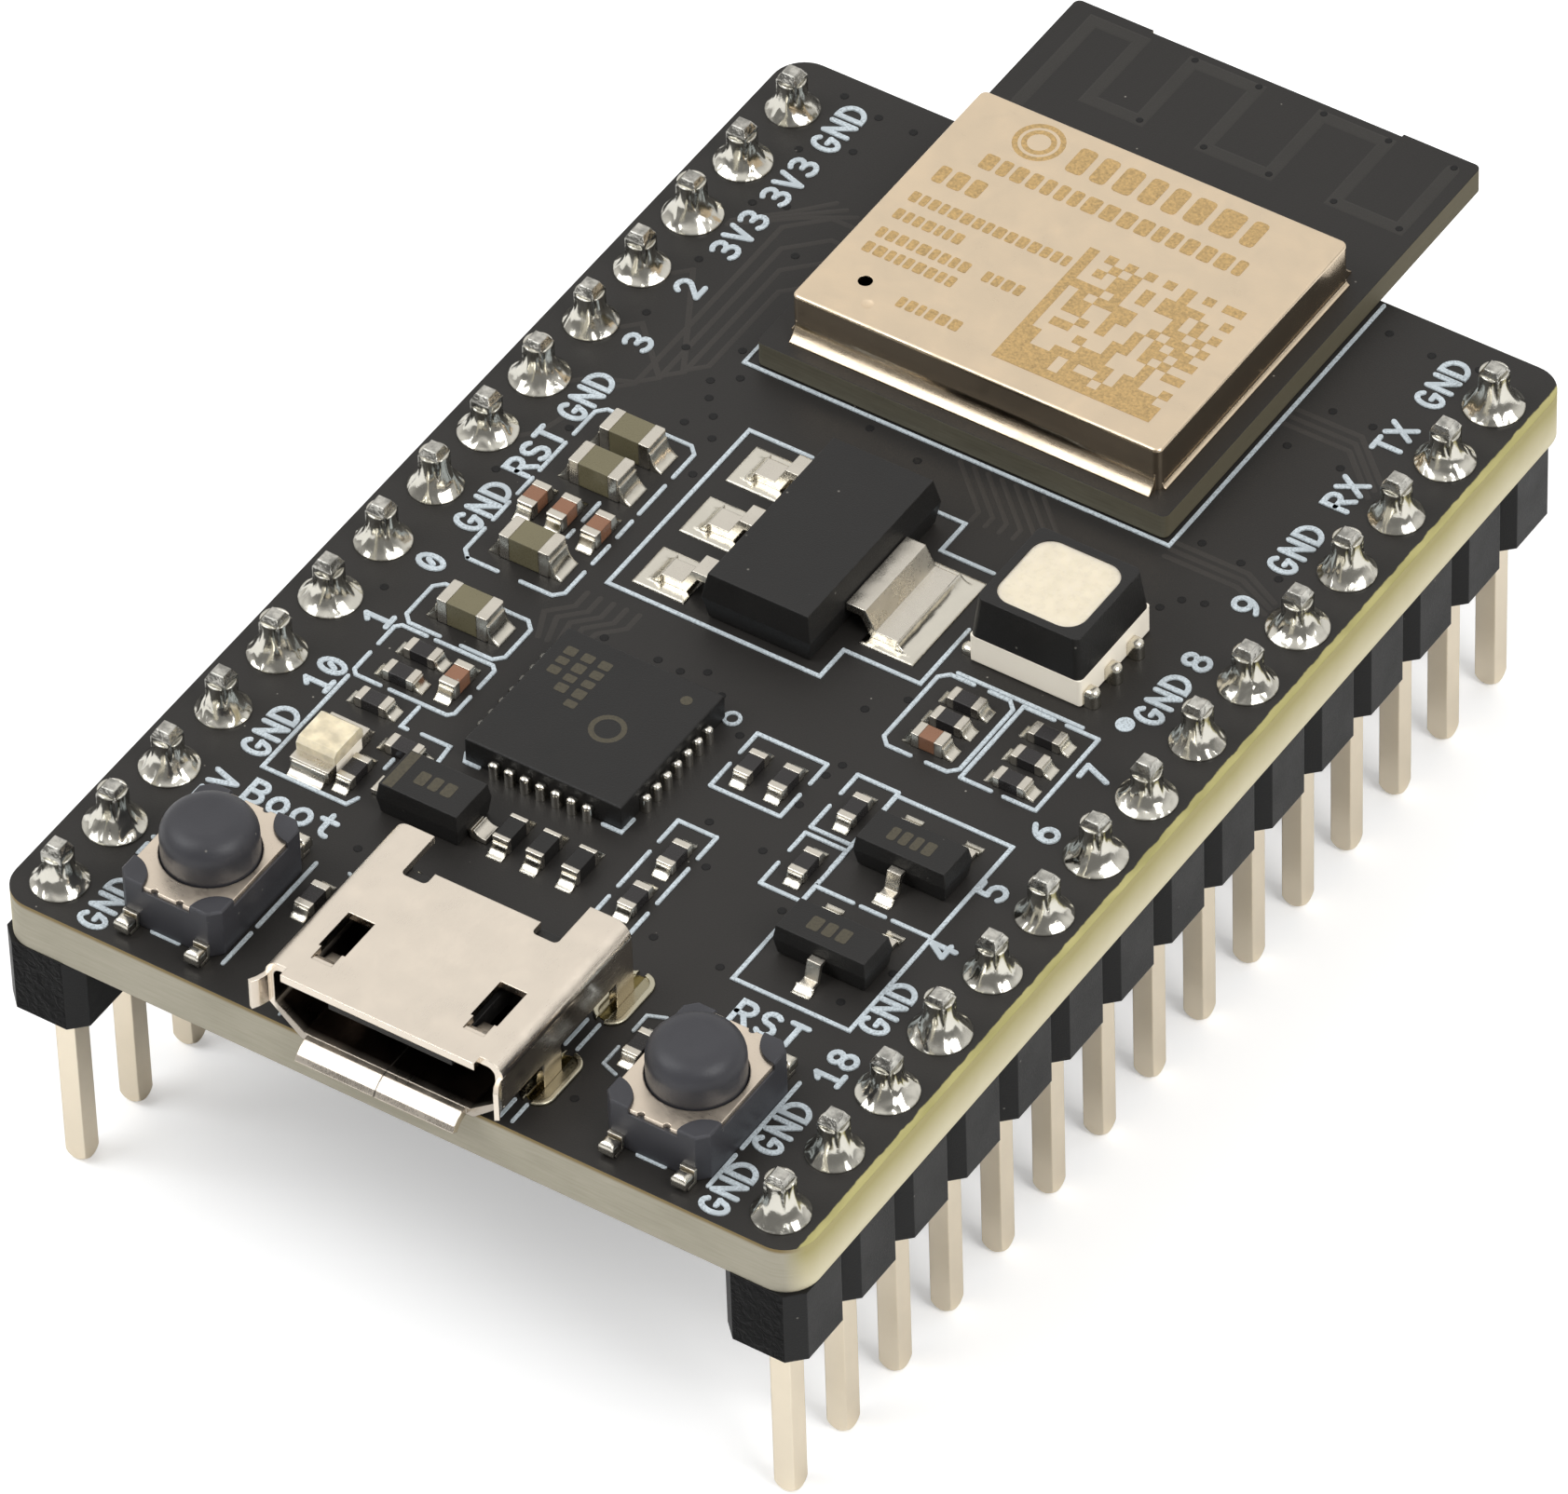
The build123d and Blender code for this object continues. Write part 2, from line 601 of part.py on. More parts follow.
def rgb_housing():
    """Dark upper frame with drafted sides and a rounded square well."""
    x, y = RGB_CENTRE
    depth = RGB_TOP - RGB_SEAM
    frame = extrude(Rectangle(RGB_SIDE, RGB_SIDE), depth, taper=RGB_DRAFT)
    corners = frame.edges() - frame.faces().filter_by(Axis.Z).edges()
    frame = Pos(x, y, RGB_SEAM) * fillet(corners, 0.22)
    return [frame - rgb_well(depth)]


def rgb_well(depth):
    """Rounded square column at the indicator's centre, standing on the seam."""
    x, y = RGB_CENTRE
    outline = RectangleRounded(RGB_WELL, RGB_WELL, RGB_WELL_CORNER)
    return Pos(x, y, RGB_SEAM) * extrude(outline, depth)


def rgb_lens():
    """Milky lens filling the well to just below its rim."""
    return [rgb_well(RGB_TOP - RGB_SEAM - 0.04)]


def rgb_leads():
    """Three solder-covered leads on each side, heaped higher on the right."""
    x, y = RGB_CENTRE
    leads = []
    for turn, height in ((0, 0.62), (180, 0.26)):
        heap = Pos(RGB_SIDE / 2, 0, 0) * solder_drop(0.42, 0.42, height)
        for i in (-1, 0, 1):
            leads.append(placed(heap, x, y - 0.35 + i * 1.1, TOP, turn))
    return leads


# ---------------------------------------------------------------- transistors and diodes
def transistor_bodies():
    """Two small three-lead packages."""
    return [placed(tapered_body(2.9, 1.34, 1.0, 0.55, 9), x, y, TOP + 0.05)
            for x, y in TRANSISTORS]


def transistor_leads():
    """One lead at the front and two at the back of each transistor."""
    path = [(0.68, 0.6), (0.86, 0.6), (1.02, 0.09), (1.32, 0.09)]
    lead = ribbon(path, 0.13, 0.42)
    leads = []
    for x, y in TRANSISTORS:
        leads.append(placed(lead, x, y, TOP, -90))
        leads += [placed(lead, x + offset, y, TOP, 90) for offset in (-0.95, 0.95)]
    return leads


def transistor_solder():
    """Solder toes at the transistor leads."""
    toes = []
    toe = Pos(1.32, 0, 0) * concave_wedge(0.3, 0.15, 0.55)
    for x, y in TRANSISTORS:
        toes.append(placed(toe, x, y, TOP, -90))
        toes += [placed(toe, x + offset, y, TOP, 90) for offset in (-0.95, 0.95)]
    return toes


def rectifier_body():
    """Moulded rectifier in the supply line."""
    x, y = RECTIFIER_CENTRE
    return [placed(tapered_body(2.62, 1.62, 1.05, 0.55, 8), x, y, TOP + 0.04)]


def rectifier_leads():
    """Flat leads with solder at both ends of the rectifier."""
    x, y = RECTIFIER_CENTRE
    path = [(1.33, 0.32), (1.42, 0.08), (1.85, 0.08)]
    lead = ribbon(path, 0.12, 0.6) + Pos(1.45, 0, 0.14) * concave_wedge(0.4, 0.22, 0.6)
    return [placed(lead, x, y, TOP, turn) for turn in (0, 180)]


def power_led_base():
    """White carrier of the power indicator."""
    x, y = POWER_LED_CENTRE
    return [slab(x, y, TOP + 0.02, 1.24, 1.2, 0.42)]


def power_led_lens():
    """Clear moulded lens on the carrier."""
    x, y = POWER_LED_CENTRE
    lens = slab(x, y, TOP + 0.44, 1.24, 1.36, 0.42)
    return [chamfer(lens.faces().sort_by(Axis.Z)[-1].edges().filter_by(Axis.X), 0.14)]


def power_led_terminals():
    """Metal ends of the power indicator with their solder."""
    x, y = POWER_LED_CENTRE
    end = slab(0.8, 0, 0.02, 0.4, 1.24, 0.42) + Pos(1.0, 0, 0) * concave_wedge(0.3, 0.36, 1.1)
    return [placed(end, x, y, TOP, turn) for turn in (90, -90)]


# ---------------------------------------------------------------- two-terminal chips
def chip_bodies(seats, size, cap):
    """Ceramic blocks between the metal ends."""
    length, width, height = size
    block = slab(0, 0, 0.02, length - 2 * cap, width - 0.02, height - 0.03)
    return [placed(block, x, y, TOP, turn) for x, y, turn in seats]


def chip_ends(seats, size, cap):
    """Metal ends of the chips."""
    length, width, height = size
    end = slab(length / 2 - cap / 2, 0, 0.02, cap, width, height - 0.02)
    rounding = min(cap, height) * 0.2
    end = fillet(end.faces().sort_by(Axis.X)[-1].edges(), rounding)
    ends = []
    for x, y, turn in seats:
        ends += [placed(end, x, y, TOP, turn + half) for half in (0, 180)]
    return ends


def chip_solder(seats, size, reach, climb):
    """Solder fillets outside the metal ends."""
    length, width, height = size
    wedge = Pos(length / 2, 0, 0) * concave_wedge(reach, climb, width - 0.04)
    joints = []
    for x, y, turn in seats:
        joints += [placed(wedge, x, y, TOP, turn + half) for half in (0, 180)]
    return joints


# ---------------------------------------------------------------- assembly
def assembly():
    """Every node of the board with its solids."""
    nodes = {
        "main_board": main_board(),
        "left_header_strip": header_strip(-1),
        "right_header_strip": header_strip(1),
        "left_header_pins": header_pins(-1),
        "right_header_pins": header_pins(1),
        "left_pin_solder": pin_solder(-1),
        "right_pin_solder": pin_solder(1),
        "module_board": module_board(),
        "module_lands": module_lands(),
        "module_shield_can": shield_can(),
        "module_processor": module_processor(),
        "module_crystal": module_crystal(),
        "module_passives": module_passives(),
        "usb_shell": usb_shell(),
        "usb_tongue": usb_tongue(),
        "usb_contacts": usb_contacts(),
        "usb_anchor_solder": usb_anchor_solder(),
        "bridge_body": bridge_body(),
        "bridge_solder": bridge_solder(),
        "regulator_body": regulator_body(),
        "regulator_leads": regulator_leads(),
        "regulator_solder": regulator_solder(),
        "rgb_base": rgb_base(),
        "rgb_housing": rgb_housing(),
        "rgb_lens": rgb_lens(),
        "rgb_leads": rgb_leads(),
        "transistor_bodies": transistor_bodies(),
        "transistor_leads": transistor_leads(),
        "transistor_solder": transistor_solder(),
        "rectifier_body": rectifier_body(),
        "rectifier_leads": rectifier_leads(),
        "power_led_base": power_led_base(),
        "power_led_lens": power_led_lens(),
        "power_led_terminals": power_led_terminals(),
        "switch_solder": switch_solder(),
        "large_capacitor_bodies": chip_bodies(LARGE_CAPACITORS, SIZE_0603, 0.34),
        "large_capacitor_ends": chip_ends(LARGE_CAPACITORS, SIZE_0603, 0.34),
        "large_capacitor_solder": chip_solder(LARGE_CAPACITORS, SIZE_0603, 0.36, 0.6),
        "small_capacitor_bodies": chip_bodies(SMALL_CAPACITORS, SIZE_0402_TALL, 0.25),
        "small_capacitor_ends": chip_ends(SMALL_CAPACITORS, SIZE_0402_TALL, 0.25),
        "small_capacitor_solder": chip_solder(SMALL_CAPACITORS, SIZE_0402_TALL, 0.3, 0.36),
        "resistor_bodies": chip_bodies(RESISTORS, SIZE_0402, 0.22),
        "resistor_ends": chip_ends(RESISTORS, SIZE_0402, 0.22),
        "resistor_solder": chip_solder(RESISTORS, SIZE_0402, 0.28, 0.3),
        "clamp_diode_bodies": chip_bodies(CLAMP_DIODES, SIZE_0402_TALL, 0.14),
        "clamp_diode_ends": chip_ends(CLAMP_DIODES, SIZE_0402_TALL, 0.14),
        "clamp_diode_solder": chip_solder(CLAMP_DIODES, SIZE_0402_TALL, 0.36, 0.3),
    }
    for name, centre in (("boot", BOOT_SWITCH), ("reset", RESET_SWITCH)):
        nodes[name + "_switch_body"] = switch_body(centre)
        nodes[name + "_switch_cover"] = switch_cover(centre)
        nodes[name + "_switch_plunger"] = switch_plunger(centre)
        nodes[name + "_switch_dome"] = switch_dome(centre)
        nodes[name + "_switch_terminals"] = switch_terminals(centre)
    return nodes


os.makedirs("parts", exist_ok=True)
for node, solids in assembly().items():
    shape = solids[0] if len(solids) == 1 else Compound(children=solids)
    export_step(shape, "parts/" + node + ".step")
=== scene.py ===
"""Studio scene of a small microcontroller board: finishes, printed marks, relief, light and camera."""
import bpy
import json
import math
import random
from mathutils import Matrix, Vector


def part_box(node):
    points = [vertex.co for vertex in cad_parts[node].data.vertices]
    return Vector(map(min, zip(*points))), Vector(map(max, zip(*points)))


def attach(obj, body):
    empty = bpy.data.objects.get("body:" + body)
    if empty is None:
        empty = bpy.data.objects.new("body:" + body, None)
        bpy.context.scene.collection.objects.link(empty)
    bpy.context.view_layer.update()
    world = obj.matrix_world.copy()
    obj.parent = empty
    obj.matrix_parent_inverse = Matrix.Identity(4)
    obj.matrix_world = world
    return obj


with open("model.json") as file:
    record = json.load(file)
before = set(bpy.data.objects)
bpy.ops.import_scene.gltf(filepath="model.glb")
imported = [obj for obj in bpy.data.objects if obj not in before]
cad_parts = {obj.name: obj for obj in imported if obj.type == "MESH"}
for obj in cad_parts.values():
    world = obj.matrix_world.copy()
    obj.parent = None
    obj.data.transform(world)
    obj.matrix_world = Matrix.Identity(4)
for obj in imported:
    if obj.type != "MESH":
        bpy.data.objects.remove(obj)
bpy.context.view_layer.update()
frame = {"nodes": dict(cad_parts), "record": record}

MM = 0.001
BODY = "board"


def node_box(node):
    """Lowest and highest corner of a CAD node, in millimetres."""
    low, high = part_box(node)
    return low / MM, high / MM


board_high = node_box("main_board")[1]
can_high = node_box("module_shield_can")[1]
TOP = board_high.z
FLOOR = node_box("left_header_pins")[0].z
PITCH = 2.54
PINS_PER_ROW = 15


# ---------------------------------------------------------------- node materials
def linear(red, green, blue):
    """A screen colour given as 0 to 255, as the linear values the shader wants."""
    values = []
    for channel in (red, green, blue):
        part = channel / 255
        values.append(part / 12.92 if part <= 0.04045 else ((part + 0.055) / 1.055) ** 2.4)
    return (*values, 1.0)


class Finish:
    """A node material with short calls for the nodes this scene uses."""

    def __init__(self, name, colour, roughness, metallic=0.0):
        self.data = bpy.data.materials.new(name)
        self.data.use_nodes = True
        self.data.diffuse_color = colour
        self.tree = self.data.node_tree
        self.shader = self.tree.nodes["Principled BSDF"]
        self.place = self.node("ShaderNodeTexCoord").outputs["Object"]
        self.geometry = self.node("ShaderNodeNewGeometry")
        self.shader.inputs["Base Color"].default_value = colour
        self.shader.inputs["Roughness"].default_value = roughness
        self.shader.inputs["Metallic"].default_value = metallic
        self.shader.inputs["Specular IOR Level"].default_value = 0.5 if metallic else 0.34
        self.normal = None

    def node(self, kind, **settings):
        """A new shader node with its settings."""
        made = self.tree.nodes.new(kind)
        for key, value in settings.items():
            setattr(made, key, value)
        return made

    def join(self, source, target):
        self.tree.links.new(source, target)

    def fill(self, socket, value):
        """Links a socket, or sets a plain value."""
        if isinstance(value, bpy.types.NodeSocket):
            self.join(value, socket)
        else:
            socket.default_value = value

    def math(self, operation, first, second=0.0):
        made = self.node("ShaderNodeMath", operation=operation)
        self.fill(made.inputs[0], first)
        self.fill(made.inputs[1], second)
        return made.outputs[0]

    def axis(self, name, vector=None):
        """One coordinate of a vector, the place in metres unless another is given."""
        made = self.node("ShaderNodeSeparateXYZ")
        self.join(vector or self.place, made.inputs[0])
        return made.outputs[name]

    def stretched(self, stretch):
        """The place, scaled along each axis."""
        made = self.node("ShaderNodeMapping")
        made.inputs["Scale"].default_value = stretch
        self.join(self.place, made.inputs["Vector"])
        return made.outputs["Vector"]

    def noise(self, size, detail=3.0, stretch=(1, 1, 1), distortion=0.0):
        """Noise whose blobs are about `size` millimetres across."""
        made = self.node("ShaderNodeTexNoise")
        made.inputs["Scale"].default_value = 1 / (size * MM)
        made.inputs["Detail"].default_value = detail
        made.inputs["Distortion"].default_value = distortion
        self.join(self.stretched(stretch), made.inputs["Vector"])
        return made.outputs["Fac"]

    def cells(self, size):
        """Cells round scattered points about `size` millimetres apart."""
        made = self.node("ShaderNodeTexVoronoi")
        made.inputs["Scale"].default_value = 1 / (size * MM)
        self.join(self.place, made.inputs["Vector"])
        return made

    def span(self, value, low, high, to_low=0.0, to_high=1.0):
        """Maps low..high onto to_low..to_high and holds it there outside."""
        made = self.node("ShaderNodeMapRange")
        self.fill(made.inputs["Value"], value)
        made.inputs["From Min"].default_value = low
        made.inputs["From Max"].default_value = high
        made.inputs["To Min"].default_value = to_low
        made.inputs["To Max"].default_value = to_high
        return made.outputs["Result"]

    def mix(self, factor, first, second):
        """Blend of two colours, each a socket or a plain value."""
        made = self.node("ShaderNodeMix", data_type="RGBA")
        self.fill(made.inputs[0], factor)
        self.fill(made.inputs[6], first)
        self.fill(made.inputs[7], second)
        return made.outputs[2]

    def colour(self, value):
        self.fill(self.shader.inputs["Base Color"], value)

    def roughness(self, value):
        self.fill(self.shader.inputs["Roughness"], value)

    def glow(self, colour, strength):
        """Emission added to the finish: a painted glow on a body that is no lamp, and an even lift for the
        floor.
        """
        self.fill(self.shader.inputs["Emission Color"], colour)
        self.fill(self.shader.inputs["Emission Strength"], strength)

    def soft_edges(self, radius):
        """Bends the normals near edges as if they were rounded by `radius` millimetres."""
        made = self.node("ShaderNodeBevel", samples=6)
        made.inputs["Radius"].default_value = radius * MM
        self.normal = made.outputs["Normal"]
        self.join(self.normal, self.shader.inputs["Normal"])

    def facing(self, name):
        """How far a face looks along one axis, from -1 to 1."""
        return self.axis(name, self.geometry.outputs["Normal"])

    def bump(self, height, depth):
        """Adds a bump `depth` millimetres deep on top of any earlier one."""
        made = self.node("ShaderNodeBump")
        made.inputs["Strength"].default_value = 1.0
        made.inputs["Distance"].default_value = depth * MM
        self.fill(made.inputs["Height"], height)
        if self.normal is not None:
            self.join(self.normal, made.inputs["Normal"])
        self.normal = made.outputs["Normal"]
        self.join(self.normal, self.shader.inputs["Normal"])

    def worn_edge(self, reach):
        """1 on edges and 0 on flats, within `reach` millimetres of an edge."""
        rounded = self.node("ShaderNodeBevel", samples=4)
        rounded.inputs["Radius"].default_value = reach * MM
        made = self.node("ShaderNodeVectorMath", operation="DOT_PRODUCT")
        self.join(rounded.outputs["Normal"], made.inputs[0])
        self.join(self.geometry.outputs["Normal"], made.inputs[1])
        return self.span(made.outputs["Value"], 0.99, 0.75)


def shade(colour, factor):
    """A colour made darker or lighter."""
    return (colour[0] * factor, colour[1] * factor, colour[2] * factor, 1.0)


def moulded(name, colour, roughness=0.5, grain=0.004, wear=1.6, mottle=0.25):
    """Moulded resin: cloudy tone, fine grain, paler edges and a few dust specks."""
    made = Finish(name, colour, roughness)
    made.soft_edges(0.06)
    cloud = made.noise(1.4, detail=4)
    tone = made.mix(cloud, shade(colour, 1 - mottle), shade(colour, 1 + mottle))
    edge = made.math("MULTIPLY", made.worn_edge(0.07), made.span(made.noise(0.3), 0.35, 0.7))
    tone = made.mix(made.math("MULTIPLY", edge, 0.8), tone, shade(colour, wear + 1.2))
    dust = made.span(made.cells(0.9).outputs["Distance"], 0.05, 0.02)
    made.colour(made.mix(made.math("MULTIPLY", dust, 0.5), tone, linear(150, 146, 138)))
    grains = made.noise(0.045, detail=2)
    made.roughness(made.span(made.math("ADD", cloud, grains), 0.6, 1.4, roughness - 0.1, roughness + 0.1))
    made.bump(grains, grain)
    return made


def plated(name, colour, roughness, grain=0.002, streak=(1, 1, 1), mottle=0.12, wrinkle=0.0,
           wrinkle_size=0.6, wrinkle_stretch=(1, 1, 1), edge=0.05, wall_roughness=None):
    """Plated or tinned metal: rolled streaks, uneven polish and, for solder, set wrinkles.

    Upright faces may be given their own roughness.
    """
    made = Finish(name, colour, roughness, metallic=1.0)
    made.soft_edges(edge)
    cloud = made.noise(0.9, detail=4, distortion=0.6)
    made.colour(made.mix(cloud, shade(colour, 1 - mottle), shade(colour, 1 + mottle * 0.6)))
    fine = made.noise(0.06, detail=3, stretch=streak)
    uneven = made.math("ADD", cloud, fine)
    spread = made.span(uneven, 0.6, 1.4, 0.6, 1.5)
    if wall_roughness:
        flat = made.math("ABSOLUTE", made.facing("Z"))
        level = made.span(flat, 0.3, 0.9, wall_roughness, roughness)
        made.roughness(made.math("MULTIPLY", spread, level))
    else:
        made.roughness(made.math("MULTIPLY", spread, roughness))
    made.bump(fine, grain)
    if wrinkle:
        made.bump(made.noise(wrinkle_size, detail=1, stretch=wrinkle_stretch, distortion=0.4), wrinkle)
    return made


def pin_metal(name, colour, tinned):
    """Pale gold pins whose upper ends are wetted with grey solder."""
    made = plated(name, colour, 0.4, streak=(3, 3, 0.2), mottle=0.05, edge=0.07)
    above = made.span(made.axis("Z"), (TOP - 0.2) * MM, (TOP + 0.3) * MM)
    cloud = made.noise(0.3, detail=3)
    shaft = made.mix(made.noise(0.9, detail=4), shade(colour, 0.95), shade(colour, 1.03))
    wetted = made.mix(made.span(cloud, 0.35, 0.65), shade(tinned, 0.5), tinned)
    made.colour(made.mix(above, shaft, wetted))
    made.roughness(made.span(above, 0, 1, 0.4, 0.2))
    made.bump(made.math("MULTIPLY", above, cloud), 0.05)
    return made


def strip_plastic(name, colour):
    """Header moulding: satin flanks and duller, ragged ends where the strip was snapped."""
    made = moulded(name, colour, 0.42, grain=0.006, wear=2.4)
    snapped = made.span(made.math("ABSOLUTE", made.facing("Y")), 0.9, 0.97)
    made.fill(made.shader.inputs["Specular IOR Level"], made.span(snapped, 0, 1, 0.24, 0.06))
    ragged = made.noise(0.3, detail=5, distortion=1.0)
    made.bump(made.math("MULTIPLY", snapped, ragged), 0.08)
    return made


def anchor_solder(name, rim, hollow):
    """Dull solder in the slots of the socket: a bright raised rim and a dark golden hollow."""
    made = plated(name, rim, 0.3, wrinkle=0.03)
    raised = made.span(made.axis("Z"), (TOP + 0.01) * MM, (TOP + 0.05) * MM)
    patch = made.mix(made.noise(0.5), shade(hollow, 0.6), shade(hollow, 1.5))
    made.colour(made.mix(raised, patch, rim))
    return made


def usb_steel(name, colour):
    """Satin shell with painted shade within it and a fine butt seam under the floor lip."""
    made = plated(name, colour, 0.36, streak=(3, 0.3, 1), mottle=0.06, wall_roughness=0.2)
    half_width = 3.4
    mouth = -19.4
    roof = TOP + 1.85
    floor = TOP + 0.5
    across = made.math("ABSOLUTE", made.axis("X"))
    side = made.span(across, half_width * MM, (half_width + 0.15) * MM, 1, 0)
    behind = made.span(made.axis("Y"), mouth * MM, (mouth + 0.5) * MM)
    below = made.span(made.axis("Z"), roof * MM, (roof + 0.2) * MM, 1, 0)
    shaded_inside = made.math("MULTIPLY", side, made.math("MULTIPLY", behind, below))
    cloud = made.noise(0.9, detail=4)
    tone = made.mix(cloud, shade(colour, 0.94), shade(colour, 1.03))
    # painted shade: the shell's hollow behind the mouth and under the roof is darkened by position
    tone = made.mix(shaded_inside, tone, linear(46, 38, 32))
    seam = made.span(across, 0.015 * MM, 0.03 * MM, 1, 0)
    low = made.span(made.axis("Z"), (floor - 0.1) * MM, floor * MM, 1, 0)
    made.colour(made.mix(made.math("MULTIPLY", seam, low), tone, shade(colour, 0.25)))
    return made


def glass_fibre(made, mask_tone, dark, pale, olive):
    """Solder mask on the faces and layered laminate on the cut edges of a board.

    The front edge runs between `dark` and `pale`; the long edges are `olive` below the mask
    and fade to a light cream at half height.
    """
    side = made.span(made.math("ABSOLUTE", made.facing("Z")), 0.75, 0.45)
    fibres = made.noise(0.16, detail=4, stretch=(0.15, 0.15, 2.0))
    cloud = made.noise(2.4, detail=4)
    blend = made.span(made.math("ADD", fibres, cloud), 0.5, 1.5)
    core = made.mix(blend, dark, pale)
    ragged = made.math("MULTIPLY", made.noise(1.1, detail=3), 0.3 * MM)
    level = made.math("ADD", made.axis("Z"), ragged)
    upper = made.span(level, (TOP - 1.25) * MM, (TOP - 0.1) * MM)
    cream = made.mix(0.3, shade(pale, 1.4), shade(olive, 1.6))
    banded = made.mix(upper, cream, olive)
    long_edge = made.span(made.math("ABSOLUTE", made.facing("X")), 0.5, 0.9)
    core = made.mix(long_edge, core, banded)
    return made.mix(side, mask_tone, core), side


def mask_dust(made, tone):
    """Fine pale specks on a dark mask."""
    grid = made.cells(0.8)
    speck = made.span(grid.outputs["Distance"], 0.045, 0.02)
    chosen = made.span(made.axis("X", grid.outputs["Color"]), 0.6, 0.62)
    fleck = made.math("MULTIPLY", speck, chosen)
    return made.mix(made.math("MULTIPLY", fleck, 0.55), tone, linear(175, 170, 160))


def board_mask(name, colour, dark, pale, olive, cut_band=False):
    """Black solder mask over glass fibre. `cut_band` bares the laminate along the right edge."""
    made = Finish(name, colour, 0.5)
    made.soft_edges(0.05)
    cloud = made.noise(5.0, detail=5)
    weave = made.noise(0.3, detail=1, stretch=(1.0, 0.25, 1.0))
    tone = made.mix(cloud, shade(colour, 0.75), shade(colour, 1.35))
    tone = mask_dust(made, tone)
    if cut_band:
        ragged = made.math("MULTIPLY", made.noise(0.5, detail=4), 0.14 * MM)
        reach = made.math("ADD", made.axis("X"), ragged)
        band = board_high.x - 0.16
        bare = made.span(reach, band * MM, (band + 0.04) * MM)
        tone = made.mix(bare, tone, made.mix(weave, linear(146, 140, 84), linear(186, 178, 122)))
    tone, side = glass_fibre(made, tone, dark, pale, olive)
    if cut_band:
        skin = made.span(made.axis("Z"), (TOP - 0.17) * MM, (TOP - 0.08) * MM)
        front = made.span(made.math("ABSOLUTE", made.facing("Y")), 0.5, 0.9)
        tone = made.mix(made.math("MULTIPLY", skin, front), tone, linear(134, 116, 76))
    made.colour(tone)
    grains = made.noise(0.05, detail=2)
    rough = made.span(made.math("ADD", cloud, grains), 0.6, 1.4, 0.4, 0.6)
    made.roughness(made.math("MAXIMUM", rough, made.math("MULTIPLY", side, 0.75)))
    made.bump(weave, 0.006)
    made.bump(grains, 0.003)
    return made


def milky(name, colour, roughness, depth, mottle=0.06):
    """Cast resin with a little light passing through it."""
    made = Finish(name, colour, roughness)
    cloud = made.noise(0.7, detail=3)
    patch = made.span(made.noise(0.4, detail=3), 0.3, 0.7)
    made.colour(made.mix(patch, shade(colour, 1 - mottle), shade(colour, 1 + mottle * 0.7)))
    made.roughness(made.span(made.noise(0.2, detail=3), 0.3, 0.7, roughness * 0.7, roughness * 1.4))
    made.shader.inputs["Subsurface Weight"].default_value = 0.4
    made.shader.inputs["Subsurface Radius"].default_value = (depth * MM, depth * MM, depth * MM * 0.7)
    made.shader.inputs["Subsurface Scale"].default_value = 1.0
    made.bump(cloud, 0.006)
    return made


def painted_glow_plastic(name, colour):
    """Cream plastic with a painted glow, so that its shaded sides stay pale."""
    made = moulded(name, colour, 0.45, wear=-0.2, mottle=0.06)
    # painted light: an even emission brightens the shaded faces
    made.glow(colour, 0.16)
    return made


def etched(name, colour):
    """Shallow laser marking: grainy and uneven."""
    made = Finish(name, colour, 0.6, metallic=0.35)
    grains = made.noise(0.07, detail=4)
    made.colour(made.mix(made.span(grains, 0.3, 0.7), shade(colour, 0.72), shade(colour, 1.25)))
    made.roughness(made.span(grains, 0.3, 0.7, 0.4, 0.8))
    made.bump(grains, 0.01)
    return made


def raised_mask(name, colour):
    """Solder mask where it covers a trace, a shade paler than round it."""
    made = Finish(name, colour, 0.5)
    cloud = made.noise(2.0, detail=4)
    made.colour(made.mix(cloud, shade(colour, 0.8), shade(colour, 1.25)))
    grains = made.noise(0.05, detail=2)
    made.roughness(made.span(grains, 0.3, 0.7, 0.42, 0.58))
    made.bump(grains, 0.003)
    return made


def bridge_drops(name, colour, left):
    """Bright solder beside the bridge chip; the row left of `left` sits in its shade."""
    made = plated(name, colour, 0.17, wrinkle=0.02, edge=0.06)
    shaded = made.span(made.axis("X"), (left - 0.1) * MM, left * MM, 1, 0)
    made.colour(made.mix(shaded, colour, shade(colour, 0.2)))
    return made


def printed(name, colour):
    """Thin white legend ink with speckled cover."""
    made = Finish(name, colour, 0.6)
    grains = made.noise(0.06, detail=4)
    patch = made.noise(0.5, detail=3)
    tone = made.mix(made.span(grains, 0.35, 0.55), shade(colour, 0.62), colour)
    made.colour(made.mix(made.span(patch, 0.35, 0.5), shade(colour, 0.8), tone))
    made.roughness(made.span(patch, 0.3, 0.7, 0.5, 0.75))
    made.bump(grains, 0.006)
    return made


